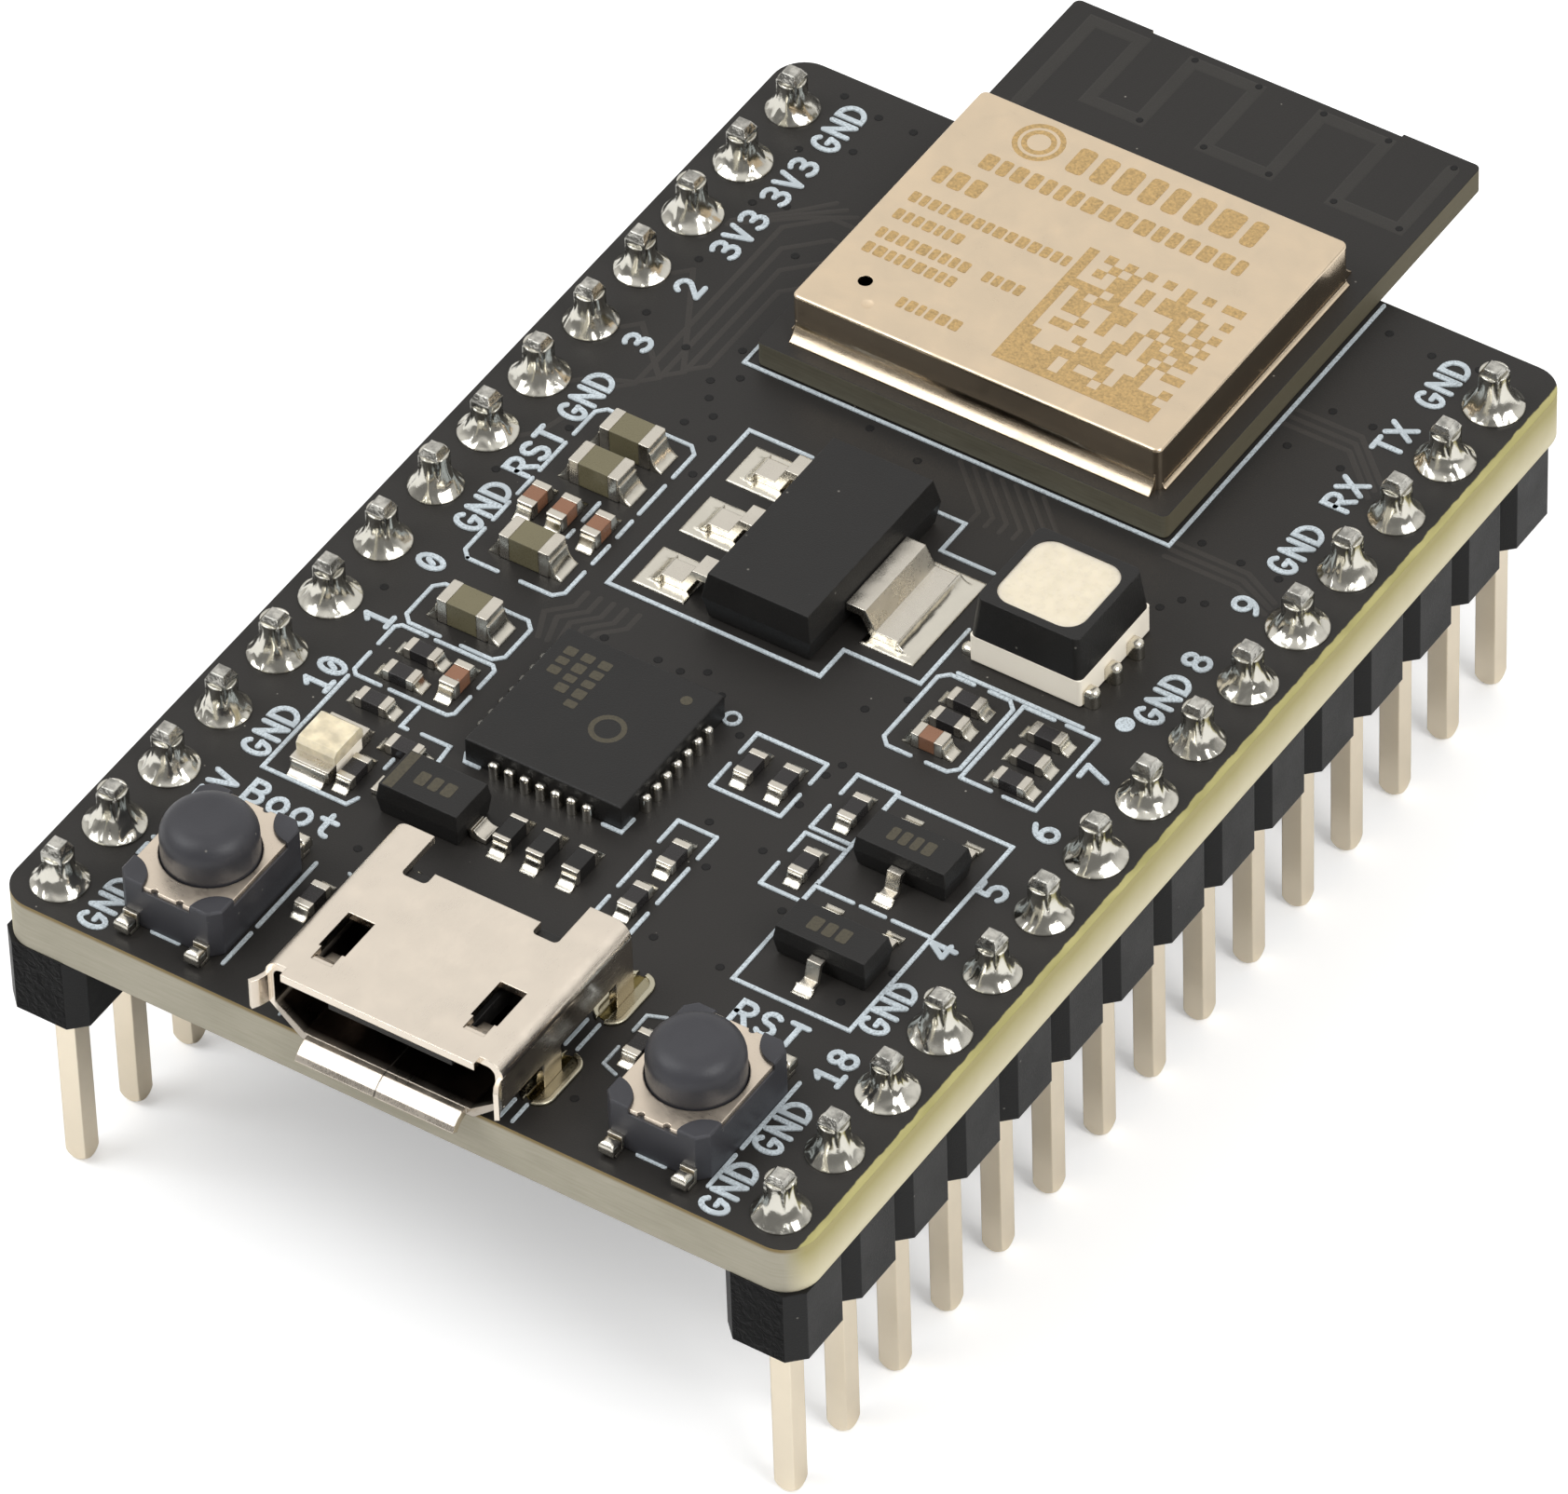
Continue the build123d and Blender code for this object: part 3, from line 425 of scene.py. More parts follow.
def make_finishes():
    """One finish for every material slot of the record."""
    return {
        "board_mask": board_mask("board_mask", linear(37, 35, 33), linear(157, 152, 134),
                                 linear(180, 174, 157), linear(164, 155, 106), cut_band=True),
        "module_mask": board_mask("module_mask", linear(35, 33, 31), linear(84, 80, 66),
                                  linear(112, 108, 92), linear(96, 90, 72)),
        "header_plastic": strip_plastic("header_plastic", linear(17, 17, 17)),
        "pin_gold": pin_metal("pin_gold", linear(246, 234, 212), linear(214, 212, 204)),
        "solder": plated("solder", linear(226, 221, 208), 0.17, wrinkle=0.03, wrinkle_size=0.6,
                         edge=0.11),
        "bridge_solder": bridge_drops("bridge_drops", linear(240, 236, 226),
                                      node_box("bridge_body")[0].x),
        "pin_solder": plated("pin_solder", linear(222, 219, 208), 0.13, wrinkle=0.16,
                             wrinkle_size=0.55, wrinkle_stretch=(1, 1, 0.25), edge=0.08),
        "anchor_solder": anchor_solder("anchor_solder", linear(196, 190, 168), linear(112, 100, 62)),
        "tinned_lead": plated("tinned_lead", linear(222, 216, 204), 0.3, wrinkle=0.02),
        "can_metal": plated("can_metal", linear(230, 211, 184), 0.42, streak=(0.3, 3, 1), mottle=0.05,
                            wall_roughness=0.14),
        "usb_steel": usb_steel("usb_steel", linear(238, 227, 212)),
        "black_mould": moulded("black_mould", linear(31, 30, 29), 0.46, grain=0.008),
        "silicon_black": moulded("silicon_black", linear(34, 34, 34), 0.5),
        "switch_plastic": moulded("switch_plastic", linear(58, 58, 62), 0.42, grain=0.004, mottle=0.3),
        "switch_cover": plated("switch_cover", linear(234, 220, 202), 0.36, streak=(0.4, 3, 1)),
        # the pale base of the colour indicator gets a painted glow
        "pale_ceramic": painted_glow_plastic("pale_ceramic", linear(246, 238, 222)),
        "lens_milky": milky("lens_milky", linear(222, 212, 190), 0.3, 0.5),
        "lens_clear": milky("lens_clear", linear(224, 212, 184), 0.2, 0.4, mottle=0.25),
        "ceramic_olive": moulded("ceramic_olive", linear(112, 106, 82), 0.3, wear=0.3, mottle=0.14),
        "ceramic_brown": moulded("ceramic_brown", linear(134, 96, 74), 0.3, wear=0.2, mottle=0.16),
        "alumina_black": moulded("alumina_black", linear(44, 42, 42), 0.25),
    }


def paint(thing, finish):
    """Gives an object one finish in place of any it has."""
    thing.data.materials.clear()
    thing.data.materials.append(finish.data)


# ---------------------------------------------------------------- flat lines and marks
LIFT_PER_LINE = 0.0005


class Sheet:
    """Collects thin raised shapes in millimetres and turns them into one mesh."""

    def __init__(self):
        self.points = []
        self.faces = []
        self.lines = 0

    def strip(self, rows, closed):
        """Joins rows of equally many points into a tube, with capped ends if it is open."""
        first = len(self.points)
        width = len(rows[0])
        for row in rows:
            self.points.extend(row)
        count = len(rows)
        for i in range(count if closed else count - 1):
            here = first + i * width
            there = first + (i + 1) % count * width
            for j in range(width):
                k = (j + 1) % width
                self.faces.append((here + j, here + k, there + k, there + j))
        if not closed:
            self.faces.append(tuple(first + j for j in reversed(range(width))))
            self.faces.append(tuple(first + (count - 1) * width + j for j in range(width)))

    def line(self, path, width, base, height, slope=0.01, closed=False):
        """A raised line along `path`, with sloping flanks and round ends.

        Gentle corners are mitred; at a sharp corner the line is made of two.

        Each line ends a hair higher than the last, so that crossing lines share no face.
        """
        path = [Vector(point) for point in path]
        path = [point for i, point in enumerate(path) if i == 0 or (point - path[i - 1]).length > 0.001]
        for i in range(1, len(path) - 1):
            if (path[i] - path[i - 1]).normalized().dot((path[i + 1] - path[i]).normalized()) < -0.1:
                self.line(path[:i + 1], width, base, height, slope)
                self.line(path[i:], width, base, height, slope)
                return
        self.lines += 1
        height += self.lines % 9 * LIFT_PER_LINE
        stations = []
        for i, point in enumerate(path):
            before = path[i - 1] if i or closed else None
            after = path[(i + 1) % len(path)] if closed or i + 1 < len(path) else None
            into = (point - before).normalized() if before is not None else None
            out = (after - point).normalized() if after is not None else None
            along = ((into or out) + (out or into)).normalized()
            across = Vector((-along.y, along.x))
            reach = max(along.dot(out or into), 0.35)
            stations.append((point, across, width / 2 / reach))
        if not closed:
            stations = round_end(stations[0], path[0] - path[1])[::-1] + stations
            stations += round_end(stations[-1], path[-1] - path[-2])
        rows = []
        for point, across, half in stations:
            flat = max(half - slope, half * 0.3)
            left, right = point + across * half, point - across * half
            rows.append([(*right, base), (*(point - across * flat), base + height),
                         (*(point + across * flat), base + height), (*left, base)])
        self.strip(rows, closed)

    def plate(self, outline, base, height):
        """A flat plate with a convex outline."""
        first = len(self.points)
        count = len(outline)
        self.points.extend((x, y, base) for x, y in outline)
        self.points.extend((x, y, base + height) for x, y in outline)
        self.faces.append(tuple(first + i for i in reversed(range(count))))
        self.faces.append(tuple(first + count + i for i in range(count)))
        for i in range(count):
            j = (i + 1) % count
            self.faces.append((first + i, first + j, first + count + j, first + count + i))

    def piece(self, name, finish):
        """Makes the object, riding on the board."""
        mesh = bpy.data.meshes.new(name)
        mesh.from_pydata([(x * MM, y * MM, z * MM) for x, y, z in self.points], [], self.faces)
        mesh.update()
        thing = bpy.data.objects.new(name, mesh)
        bpy.context.scene.collection.objects.link(thing)
        paint(thing, finish)
        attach(thing, BODY)


def round_end(station, outward):
    """Extra stations that close a line with a half circle."""
    point, across, half = station
    outward = outward.normalized()
    made = []
    for turn in (30, 60, 85):
        angle = math.radians(turn)
        made.append((point + outward * half * math.sin(angle), across, half * math.cos(angle)))
    return made


def arc(x, y, rx, ry, start, end, steps=8):
    """Points on an ellipse from one angle to another, in degrees."""
    turns = [math.radians(start + (end - start) * i / steps) for i in range(steps + 1)]
    return [(x + rx * math.cos(turn), y + ry * math.sin(turn)) for turn in turns]


def ring(x, y, radius, steps=16):
    """Points round a circle."""
    return arc(x, y, radius, radius, 0, 360 - 360 / steps, steps - 1)


def box_outline(x0, y0, x1, y1):
    """Outline of a plain rectangle."""
    return [(x0, y0), (x1, y0), (x1, y1), (x0, y1)]


def rounded_box(x0, y0, x1, y1, radius):
    """Outline of a rectangle with round corners."""
    corners = [(x1 - radius, y1 - radius, 0), (x0 + radius, y1 - radius, 90),
               (x0 + radius, y0 + radius, 180), (x1 - radius, y0 + radius, 270)]
    outline = []
    for x, y, start in corners:
        outline += arc(x, y, radius, radius, start, start + 90, 2)
    return outline


# ---------------------------------------------------------------- legend on the board
INK = 0.035
PEN = 0.13
FINE_PEN = 0.11
LETTER_PEN = 0.17
LETTER_WIDTH = 0.6
LEFT_LABELS = ("GND", "5V", "5V", "GND", "10", "1", "0", "GND", "RST", "GND", "3", "2", "3V3", "3V3", "GND")
RIGHT_LABELS = ("GND", "GND", "18", "GND", "4", "5", "6", "7", "GND", "8", "9", "GND", "RX", "TX", "GND")


def glyph_table():
    """Strokes of each letter in a cell 0.6 wide and 1 high; True marks a closed stroke."""
    w = LETTER_WIDTH
    m = w / 2
    small = 0.25
    return {
        "0": [(arc(m, 0.5, m, 0.5, 0, 337, 15), True), ([(m - 0.07, 0.36), (m + 0.07, 0.64)], False)],
        "1": [([(0.06, 0.8), (m, 1), (m, 0)], False), ([(0.04, 0), (w - 0.02, 0)], False)],
        "2": [(arc(m, 0.72, m, 0.28, 165, -35) + [(0, 0), (w, 0)], False)],
        "3": [(arc(m * 0.9, 0.76, m, 0.24, 140, -80) + [(m * 0.7, 0.52)], False),
              (arc(m * 0.9, 0.26, m * 1.1, 0.26, 80, -145), False)],
        "4": [([(w * 0.75, 0), (w * 0.75, 1), (0, 0.28), (w, 0.28)], False)],
        "5": [([(w * 0.9, 1), (0.06, 1), (0.04, 0.58)] + arc(m * 0.9, 0.31, m * 1.1, 0.31, 100, -145),
               False)],
        "6": [([(w * 0.85, 1)] + arc(w * 0.9, 0.34, w * 0.9, 0.62, 110, 180, 4), False),
              (arc(m, 0.31, m, 0.31, 0, 337, 15), True)],
        "7": [([(0, 1), (w, 1), (w * 0.35, 0)], False)],
        "8": [(arc(m, 0.77, m * 0.85, 0.23, 0, 337, 15), True), (arc(m, 0.27, m, 0.27, 0, 337, 15), True)],
        "9": [(arc(m, 0.69, m, 0.31, 0, 337, 15), True),
              (arc(w * 0.1, 0.66, w * 0.9, 0.62, 0, -70, 4) + [(w * 0.15, 0)], False)],
        "B": [([(0, 0), (0, 1), (m, 1)] + arc(m, 0.77, m * 0.85, 0.23, 90, -90) + [(0, 0.54)], False),
              ([(0, 0.54), (m, 0.54)] + arc(m, 0.27, m, 0.27, 90, -90) + [(0, 0)], False)],
        "D": [([(0, 0), (0, 1), (0.1, 1)] + arc(0.1, 0.5, w - 0.1, 0.5, 90, -90, 12), True)],
        "G": [(arc(m, 0.5, m, 0.5, 50, 318, 14) + [(w, 0.46), (m * 1.1, 0.46)], False)],
        "N": [([(0, 0), (0, 1), (w, 0), (w, 1)], False)],
        "R": [([(0, 0), (0, 1), (m, 1)] + arc(m, 0.74, m * 0.95, 0.26, 90, -90) + [(0, 0.48)], False),
              ([(m * 0.9, 0.48), (w, 0)], False)],
        "S": [(arc(m, 0.76, m * 0.95, 0.24, 35, 270) + arc(m, 0.26, m, 0.26, 90, -145), False)],
        "T": [([(0, 1), (w, 1)], False), ([(m, 1), (m, 0)], False)],
        "V": [([(0, 1), (m, 0), (w, 1)], False)],
        "X": [([(0, 0), (w, 1)], False), ([(0, 1), (w, 0)], False)],
        "o": [(arc(m, 0.35, m, 0.35, 0, 337, 15), True)],
        "t": [([(m * 0.8, 0.95), (m * 0.8, small)] + arc(m * 0.8 + small, small, small, small, 180, 280, 5),
               False), ([(0, 0.68), (w * 0.95, 0.68)], False)],
    }


GLYPHS = glyph_table()


def write(sheet, text, x, y, quarter_turn, height=0.76, advance=0.71):
    """Stroke lettering centred on x, y; a quarter turn makes it read towards the antenna."""
    length = advance * (len(text) - 1) + LETTER_WIDTH * height
    for i, letter in enumerate(text):
        for points, closed in GLYPHS[letter]:
            path = []
            for u, v in points:
                along = i * advance + u * height - length / 2
                up = v * height - height / 2
                path.append((x - up, y + along) if quarter_turn else (x + along, y + up))
            sheet.line(path, LETTER_PEN, TOP, INK, closed=closed)


def pin_y(index):
    """Place of a header pin along its row, counted from the front."""
    return (index - PINS_PER_ROW // 2) * PITCH


def pin_labels(sheet):
    """A label beside every header pin and over each switch."""
    crowded = 8
    for i in range(PINS_PER_ROW):
        write(sheet, LEFT_LABELS[i], -9.87, pin_y(i), True)
        shift = 0.85 if i == crowded else 0.0
        write(sheet, RIGHT_LABELS[i], 9.82, pin_y(i) + shift, True)
    for text, x in (("Boot", -7.72), ("RST", 7.45)):
        write(sheet, text, x, -12.3, False, height=0.8, advance=0.76)


def outline_box(sheet, x0, y0, x1, y1, corner=0.25, side_gaps=(), end_gaps=()):
    """A legend box with clipped corners. Gaps are (centre, size) along each side or end."""
    def broken(start, stop, gaps):
        edges = [start]
        for centre, size in gaps:
            edges += [centre - size / 2, centre + size / 2]
        edges.append(stop)
        return list(zip(edges[::2], edges[1::2]))

    for x, inward in ((x0, corner), (x1, -corner)):
        for low, high in broken(y0 + corner, y1 - corner, side_gaps):
            sheet.line([(x, low), (x, high)], PEN, TOP, INK)
        for y, lift in ((y0, corner), (y1, -corner)):
            if corner:
                sheet.line([(x, y + lift), (x + inward, y)], PEN, TOP, INK)
    for y in (y0, y1):
        for low, high in broken(x0 + corner, x1 - corner, end_gaps):
            sheet.line([(low, y), (high, y)], PEN, TOP, INK)


def legend():
    """All white print on the board."""
    sheet = Sheet()
    pin_labels(sheet)

    def stroke(*path, width=PEN, closed=False):
        sheet.line(list(path), width, TOP, INK, closed=closed)

    # module
    stroke((-6.95, 9.4), (-6.95, 8.48), (6.8, 8.48), (6.8, board_high.y - 0.15), width=0.12)
    # regulator
    stroke((-3.3, 6.3), (-5.35, 6.3), (-5.35, -0.7), (1.5, -0.7), (1.5, 0.48), (3.95, 0.48), (3.95, 2.9))
    stroke((0.5, 6.3), (1.65, 6.3), (1.65, 5.08), (3.35, 5.08))
    # capacitors on the left
    outline_box(sheet, -9.35, -1.9, -6.1, 4.95, end_gaps=((-7.75, 0.75),),
                side_gaps=((-0.5, 0.4), (0.7, 0.4), (1.8, 0.35), (3.45, 0.4)))
    stroke((-7.25, 1.75), (-7.25, 0.95))
    stroke((-7.25, 0.5), (-7.25, 0.2))
    outline_box(sheet, -9.3, -4.8, -6.1, -3.05, end_gaps=((-7.7, 0.7),))
    # power indicator, rectifier and their neighbours
    outline_box(sheet, -9.3, -7.2, -6.05, -4.98, corner=0.15, side_gaps=((-6.1, 0.4),),
                end_gaps=((-8.2, 0.3),))
    stroke((-9.3, -7.35), (-9.3, -11.4), (-6.6, -11.4), (-6.45, -11.05))
    stroke((-7.0, -7.35), (-7.0, -8.2), (-6.8, -8.2))
    stroke((-6.35, -8.15), (-5.45, -8.15), (-5.4, -8.8))
    stroke((-6.47, -9.35), (-6.47, -9.75))
    stroke((-4.95, -8.1), (-4.8, -8.4), (-4.35, -8.4))
    stroke((-0.35, -8.42), (0.22, -8.42), (0.24, -7.85))
    # pin-one ring of the bridge chip and the resistors beside it
    stroke(*ring(0.38, -3.28, 0.22), width=0.12, closed=True)
    outline_box(sheet, 1.27, -5.7, 3.5, -3.4, corner=0, side_gaps=((-4.5, 0.5),))
    outline_box(sheet, 1.27, -11.5, 2.5, -7.25, corner=0, side_gaps=((-10.35, 0.45), (-8.4, 0.45)))
    outline_box(sheet, 4.4, -5.6, 5.7, -3.3, corner=0, side_gaps=((-4.4, 0.55),))
    outline_box(sheet, 4.4, -8.05, 5.7, -5.85, corner=0, side_gaps=((-6.9, 0.55),))
    # passives in front of the colour indicator
    outline_box(sheet, 4.2, -1.95, 6.6, 1.2, end_gaps=((5.45, 0.5),))
    outline_box(sheet, 6.78, -1.95, 9.15, 1.2, corner=0, end_gaps=((7.95, 0.4),))
    # transistors
    stroke((5.72, -7.35), (5.72, -3.42), (9.37, -3.42), (9.37, -11.37), (5.72, -11.37), (5.72, -7.35))
    for low, high in ((5.72, 6.9), (7.15, 7.9), (8.15, 9.37)):
        stroke((low, -7.38), (high, -7.38))
    # colour indicator
    stroke((4.6, 1.35), (8.55, 1.35))
    sheet.plate(ring(9.45, 2.05, 0.27), TOP, INK)
    # switches
    for x in (-6.02, 9.3):
        stroke((x, -13.65), (x, -16.4))
        stroke((x, -16.7), (x, -18.0))
    for x in (-7.85, 7.55):
        stroke((x - 0.42, -18.02), (x + 0.42, -18.02))
    # USB socket
    for side in (-1, 1):
        rear = side * 4.55
        stroke((rear + side * 0.5, -13.5), (rear, -13.7), (rear, -14.35), width=FINE_PEN)
        stroke((rear, -15.05), (rear, -15.75), (rear + 0.5, -15.92), width=FINE_PEN)
    for side in (-1, 1):
        for x in (3.3, 3.68):
            stroke((side * x, -14.65), (side * x, -15.7), width=FINE_PEN)
            stroke((side * x, -18.05), (side * x, -18.75), width=FINE_PEN)
    sheet.piece("legend_print", printed("legend_ink", linear(196, 206, 212)))


# ---------------------------------------------------------------- relief in the mask
RELIEF = 0.002
ANTENNA_RELIEF = 0.006
VIA_LIFT = 0.006


def relief():
    """Traces that show as low relief under the mask."""
    sheet = Sheet()

    def trace(*path, width=0.17):
        sheet.line(list(path), width, TOP, RELIEF, slope=0.06)

    # four lanes from the left pins to the module
    for i in range(4):
        lane = -9.05 + i * 0.45
        pin = pin_y(8 + i)
        front = 6.2 + i * 0.55
        back = 13.6 - i * 0.75
        trace((-10.6, pin + 0.3), (-10.2, pin + 0.7), (lane - 0.5, front - 0.5), (lane, front),
              (lane, back), (lane + 1.0, back + 1.0), (-6.7, back + 1.0))
    # left of the module
    for i in range(3):
        trace((-8.3 + i * 0.4, 15.2 - i * 0.1), (-9.2 + i * 0.2, 14.2), (-10.4, 13.1 - i * 0.1))
    # a ribbon in front of the module
    for i in range(7):
        start = 0.2 + i * 0.45
        trace((start, 8.3), (start + 1.5, 6.9), (start + 1.5, 6.5), width=0.14)
    # right of the module
    for i in range(3):
        trace((6.9, 14.2 + i * 0.33), (9.0, 14.2 + i * 0.33), (10.4, 12.9 + i * 0.33))
        trace((6.9, 8.1 + i * 0.3), (9.2, 8.1 + i * 0.3), (10.4, 7.6 + i * 0.25))
    # behind the bridge chip
    for i in range(5):
        lane = -5.6 + i * 0.42
        trace((lane, -1.3), (lane, -1.9), (lane - 0.6, -2.5), (-5.8 + i * 0.3, -3.4))
    sheet.piece("mask_relief", raised_mask("relief_mask", linear(50, 47, 44)))


def antenna_relief():
    """Meander of the antenna under the module's mask, with painted shade discs on its row of vias."""
    sheet = Sheet()
    level = node_box("module_board")[1].z
    columns = (-5.75, -4.15, -2.45, -0.35, 1.77, 3.88, 6.0)
    near, far = 21.7, 24.5
    path = [(columns[0], 20.6)]
    for i, x in enumerate(columns):
        ends = (near, far) if i % 2 == 0 else (far, near)
        path += [(x, ends[0]), (x, ends[1])]
    sheet.line(path, 0.42, level, ANTENNA_RELIEF, slope=0.08)
    sheet.piece("antenna_relief", raised_mask("antenna_mask", linear(46, 44, 41)))
    # painted shade: near-black discs stand for the shade down the via holes
    holes = Sheet()
    for x in columns[2:]:
        for y in (near, far + 0.1):
            holes.plate(ring(x, y, 0.11, 10), level, ANTENNA_RELIEF * 1.5)
    holes.piece("antenna_vias", moulded("antenna_via_dark", linear(14, 13, 13), 0.6))


def via_places():
    """Vias that can be seen between the parts."""
    left = [(-10.5, 19.0), (-9.2, 18.75), (-8.05, 18.75), (-9.05, 17.2), (-10.4, 16.5), (-9.4, 14.35),
            (-10.3, 14.0), (-8.1, 12.8), (-10.3, 11.3), (-10.35, 8.75), (-8.65, 8.15), (-7.25, 8.85),
            (-7.35, 7.4), (-6.7, 7.9), (-7.0, 6.8), (-6.5, 6.25), (-7.05, 5.65), (-6.05, 5.5),
            (-5.72, 4.05), (-9.6, 3.8), (-2.6, 8.1), (-0.8, 7.7), (-10.4, 1.4)]
    right = [(7.5, 18.75), (8.95, 18.6), (10.35, 18.8), (7.8, 15.3), (9.05, 15.35), (7.45, 13.5),
             (9.15, 13.5), (7.5, 9.05), (8.8, 8.95), (10.0, 8.95), (8.2, 6.9), (8.8, 7.1), (7.85, 6.35)]
    front = [(-4.25, -2.5), (-2.55, -2.45), (-1.8, -2.5), (-1.15, -2.15), (-0.35, -2.7), (4.0, -0.2),
             (3.2, -1.1), (0.9, -3.7), (3.85, -3.2), (3.68, -3.75), (3.68, -5.05), (5.45, -8.6),
             (3.8, -7.0), (2.0, -6.85), (2.85, -8.3), (3.1, -11.2), (5.2, -11.2), (8.6, -10.6),
             (-10.4, -4.0), (10.5, -3.9), (-5.4, -12.6), (4.6, -17.2), (9.2, -9.0)]
    return left + right + front


def via_holes():
    """Near-black discs on the vias: painted shade in the via holes."""
    sheet = Sheet()
    for x, y in via_places():
        # painted shade: each disc stands for the shade down a via hole
        sheet.plate(ring(x, y, 0.13, 10), TOP, VIA_LIFT)
    sheet.piece("via_mouths", moulded("via_dark", linear(14, 13, 13), 0.6))


# ---------------------------------------------------------------- marks on the parts
CAN_ETCH = 0.008
CHIP_ETCH = 0.005
CODE_CELLS = 16
CODE_SIDE = 5.05


def mark_row(sheet, draw, x0, x1, y, size, base, lift):
    """A row of plain blocks of letter size, standing in for illegible print."""
    x = x0
    while x < x1 - size * 0.3:
        wide = size * draw.uniform(0.45, 0.75)
        block = rounded_box(x, y - size / 2, min(x + wide, x1), y + size / 2, size * 0.12)
        sheet.plate(block, base, lift)
        x += wide + size * 0.22


def can_marks():
    """Generic etched marks on the shield can: rows of blocks, a roundel and a square code pattern."""
    sheet = Sheet()
    draw = random.Random(4)
    base = can_high.z
    for radius in (0.68, 0.42):
        sheet.line(ring(-3.45, 18.1, radius, 24), 0.16, base, CAN_ETCH, closed=True)
    for x0, x1, y, size in ((-2.3, 3.8, 18.05, 1.05), (-4.4, 4.1, 16.7, 0.62), (-5.2, -3.7, 15.6, 0.7)):
        mark_row(sheet, draw, x0, x1, y, size, base, CAN_ETCH)
    for x0, x1, y in ((-5.3, -0.15, 14.45), (-5.3, -3.0, 13.65), (-5.3, -2.2, 12.78), (-1.85, -0.45, 12.78),
                      (-5.3, -2.2, 12.1), (-3.3, -1.3, 10.7)):
        mark_row(sheet, draw, x0, x1, y, 0.42, base, CAN_ETCH)
    cell = CODE_SIDE / CODE_CELLS
    last = CODE_CELLS - 1
    for row in range(CODE_CELLS):
        for column in range(CODE_CELLS):
            border = row == 0 or column == 0
            tick = (row == last and column % 2 == 0) or (column == last and row % 2 == 1)
            inner = row < last and column < last and draw.random() < 0.52
            if border or tick or inner:
                x = 0.02 + column * cell
                y = 10.22 + row * cell
                sheet.plate(box_outline(x, y, x + cell, y + cell), base, CAN_ETCH)
    sheet.piece("can_marks", etched("can_etch", linear(186, 156, 106)))


def chip_marks():
    """Generic blocks and pin-one marks on the dark chips."""
    sheet = Sheet()
    draw = random.Random(9)
    bridge_low, bridge_high = node_box("bridge_body")
    base = bridge_high.z
    centre = (bridge_low + bridge_high) / 2
    for i in range(3):
        x = centre.x - 1.0 - i * 0.55
        y = centre.y + 1.9
        for _ in range(5 - i):
            tall = draw.uniform(0.26, 0.36)
            sheet.plate(rounded_box(x, y - tall, x + 0.36, y, 0.05), base, CHIP_ETCH)
            y -= tall + 0.12
    sheet.line(ring(centre.x + 0.55, centre.y - 0.2, 0.45, 24), 0.16, base, CHIP_ETCH, closed=True)
    sheet.plate(ring(centre.x + 1.75, centre.y + 1.8, 0.17), base, CHIP_ETCH)
    rectifier_low, rectifier_high = node_box("rectifier_body")
    middle = (rectifier_low + rectifier_high) / 2
    mark_row(sheet, draw, middle.x - 0.5, middle.x + 0.7, middle.y, 0.5, rectifier_high.z, CHIP_ETCH)
    band = rectifier_low.x + 0.14
    cathode = box_outline(band, rectifier_low.y + 0.1, band + 0.32, rectifier_high.y - 0.1)
    sheet.plate(cathode, rectifier_high.z, CHIP_ETCH * 0.8)
    transistor_x = 7.57
    transistor_top = node_box("transistor_bodies")[1].z
    for y in (-5.5, -9.38):
        mark_row(sheet, draw, transistor_x - 0.7, transistor_x + 0.7, y, 0.5, transistor_top, CHIP_ETCH)
    sheet.piece("chip_marks", etched("chip_etch", linear(80, 75, 62)))


# ---------------------------------------------------------------- studio
def add_floor():
    """Pale seamless floor under the pin tips."""
    half = 1.6
    mesh = bpy.data.meshes.new("studio_floor")
    gap = 0.02
    z = (FLOOR - gap) * MM
    corners = [(x, y, z) for x, y in box_outline(-half, -half, half, half)]
    mesh.from_pydata(corners, [], [(0, 1, 2, 3)])
    floor = bpy.data.objects.new("studio_floor", mesh)
    bpy.context.scene.collection.objects.link(floor)
    finish = Finish("floor_paper", linear(240, 240, 240), 0.8)
    cloud = finish.noise(30, detail=3)
    finish.colour(finish.mix(cloud, linear(238, 238, 238), linear(244, 244, 244)))
    seen = finish.node("ShaderNodeLightPath").outputs["Is Camera Ray"]
    finish.glow((1, 1, 1, 1), finish.math("MULTIPLY", seen, 0.34))
    paint(floor, finish)


def add_light(name, azimuth, elevation, distance, size, power, colour=(1, 1, 1)):
    """A square soft box aimed at the board from a direction given like the camera's."""
    data = bpy.data.lights.new(name, "AREA")
    data.size = size
    data.energy = power
    data.color = colour
    light = bpy.data.objects.new(name, data)
    back = direction(azimuth, elevation)
    light.location = back * distance
    light.rotation_euler = back.to_track_quat("Z", "Y").to_euler()
    bpy.context.scene.collection.objects.link(light)


def direction(azimuth, elevation):
    """Unit vector away from the board: azimuth 0 is the front, 90 the right."""
    turn = math.radians(azimuth)
    lift = math.radians(elevation)
    return Vector((math.sin(turn) * math.cos(lift), -math.cos(turn) * math.cos(lift), math.sin(lift)))


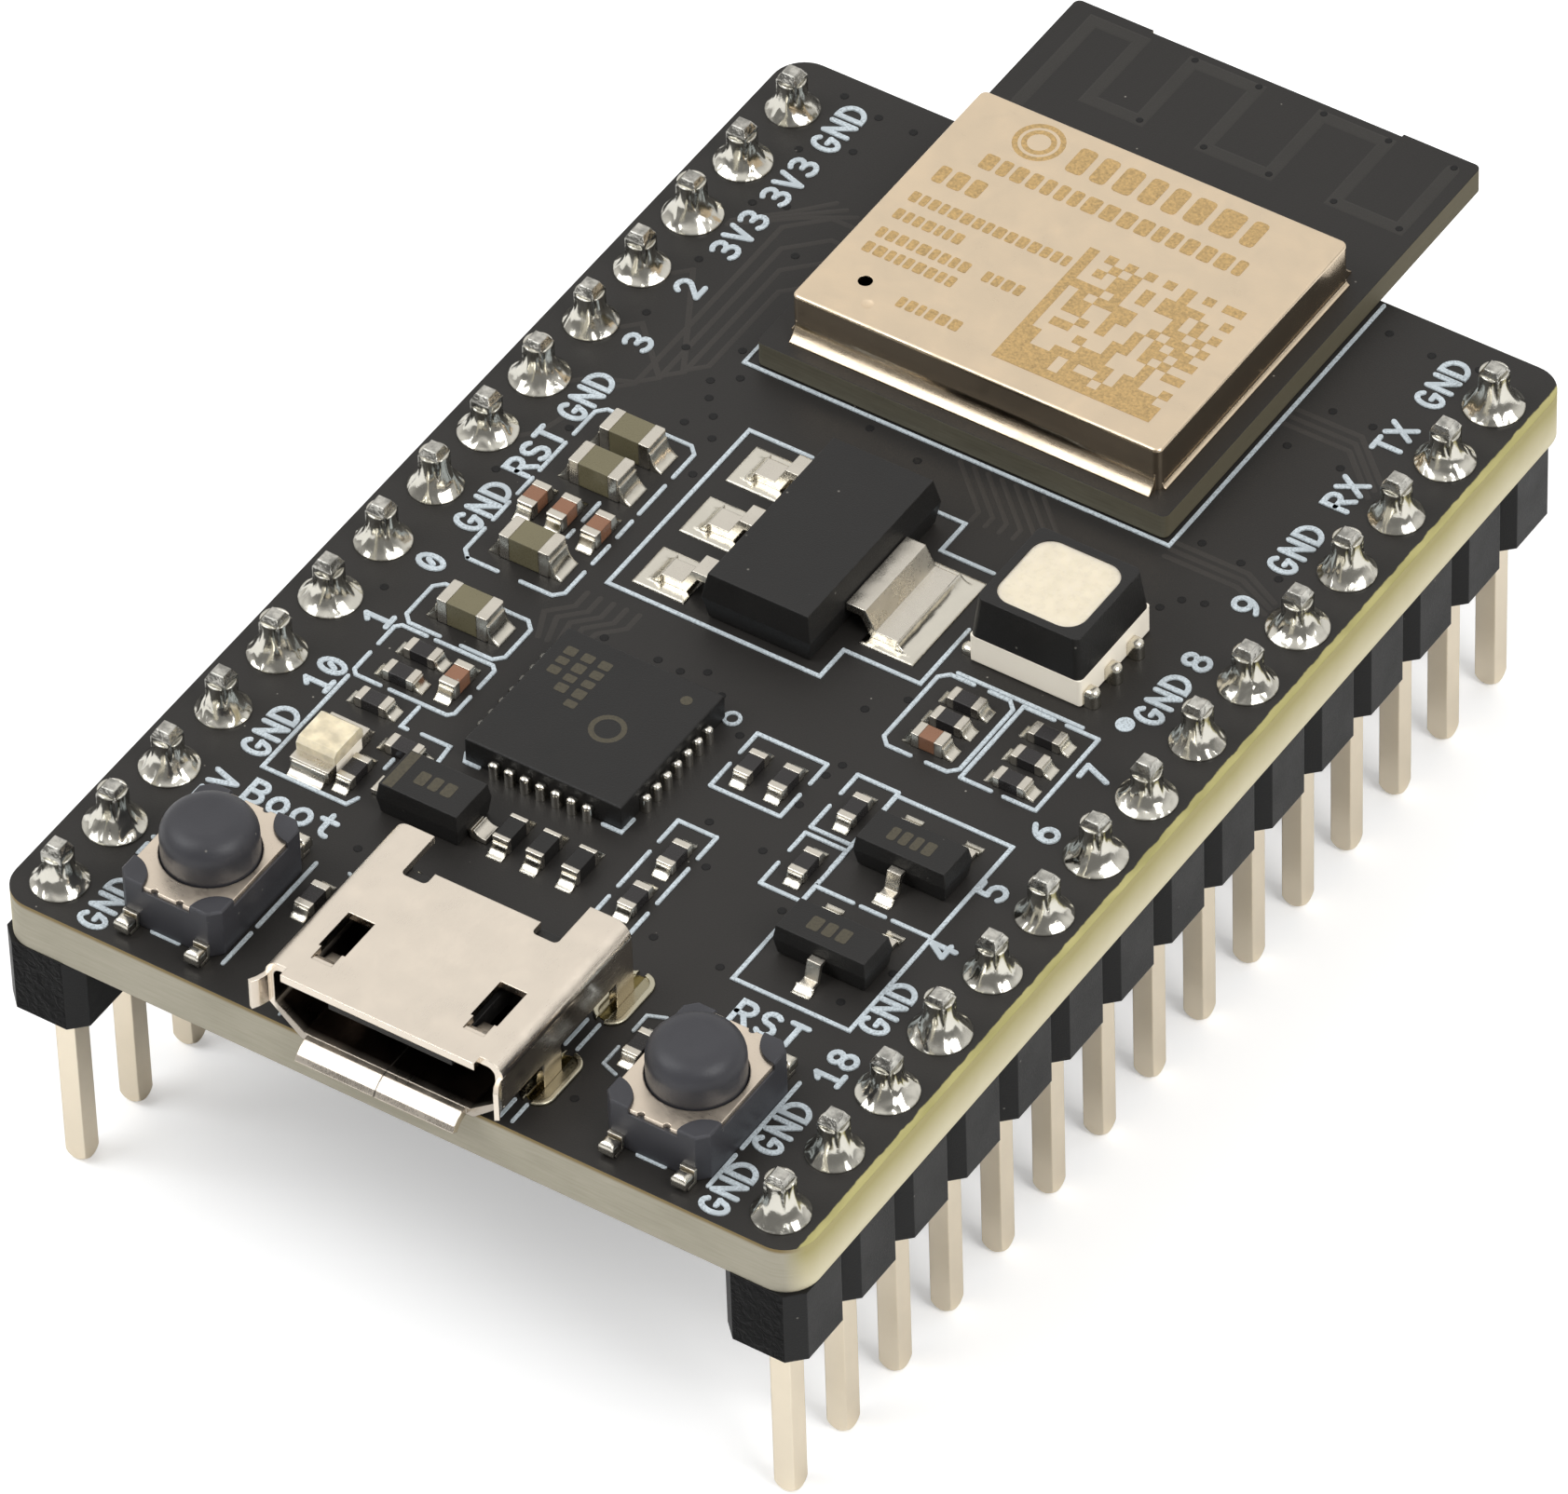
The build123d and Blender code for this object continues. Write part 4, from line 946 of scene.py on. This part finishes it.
def add_world():
    """Surroundings that light from behind, dim round the camera, and white where they are seen."""
    world = bpy.data.worlds.new("studio")
    world.use_nodes = True
    bpy.context.scene.world = world
    tree = world.node_tree
    background = tree.nodes["Background"]
    place = tree.nodes.new("ShaderNodeTexCoord")
    toward = tree.nodes.new("ShaderNodeVectorMath")
    toward.operation = "DOT_PRODUCT"
    toward.inputs[1].default_value = direction(205, 55)
    level = tree.nodes.new("ShaderNodeMapRange")
    level.interpolation_type = "SMOOTHSTEP"
    level.inputs["From Min"].default_value = -0.1
    level.inputs["From Max"].default_value = 0.75
    level.inputs["To Min"].default_value = 0.22
    level.inputs["To Max"].default_value = 0.86
    seen = tree.nodes.new("ShaderNodeLightPath")
    shown = tree.nodes.new("ShaderNodeMath")
    shown.operation = "MAXIMUM"
    tree.links.new(place.outputs["Generated"], toward.inputs[0])
    tree.links.new(toward.outputs["Value"], level.inputs["Value"])
    tree.links.new(level.outputs["Result"], shown.inputs[0])
    tree.links.new(seen.outputs["Is Camera Ray"], shown.inputs[1])
    tree.links.new(shown.outputs[0], background.inputs["Strength"])
    background.inputs["Color"].default_value = (1.0, 0.99, 0.975, 1)


def add_camera():
    """Long lens from the front right, as far away as the perspective asks for."""
    azimuth, elevation, roll = 34.59, 44.93, -2.02
    distance = 0.39518
    target = Vector((2.145, -3.444, 1.6)) * MM
    back = direction(azimuth, elevation)
    data = bpy.data.cameras.new("camera")
    data.lens = 339.62
    data.sensor_width = 36
    data.sensor_fit = "HORIZONTAL"
    data.clip_start = 0.01
    data.clip_end = 10
    camera = bpy.data.objects.new("camera", data)
    turn = back.to_track_quat("Z", "Y").to_matrix().to_4x4()
    spin = Matrix.Rotation(math.radians(roll), 4, "Z")
    camera.matrix_world = Matrix.Translation(target + back * distance) @ turn @ spin
    bpy.context.scene.collection.objects.link(camera)
    bpy.context.scene.camera = camera


def add_studio():
    """Floor, surroundings, two soft boxes and the camera."""
    add_floor()
    add_world()
    add_light("right_light", 80, 42, 0.6, 0.32, 1.7)
    add_light("left_light", 310, 48, 0.6, 0.35, 1.6, (0.97, 0.985, 1.0))
    add_camera()
    bpy.context.scene.view_settings.view_transform = "Standard"


# ---------------------------------------------------------------- put together
finishes = make_finishes()
own_finish = {"left_pin_solder": "pin_solder", "right_pin_solder": "pin_solder",
              "usb_anchor_solder": "anchor_solder", "bridge_solder": "bridge_solder"}
for entry in frame["record"]["subparts"]:
    node = entry["node"]
    paint(frame["nodes"][node], finishes[own_finish.get(node, entry["material_slot"])])
legend()
relief()
via_holes()
antenna_relief()
can_marks()
chip_marks()
add_studio()
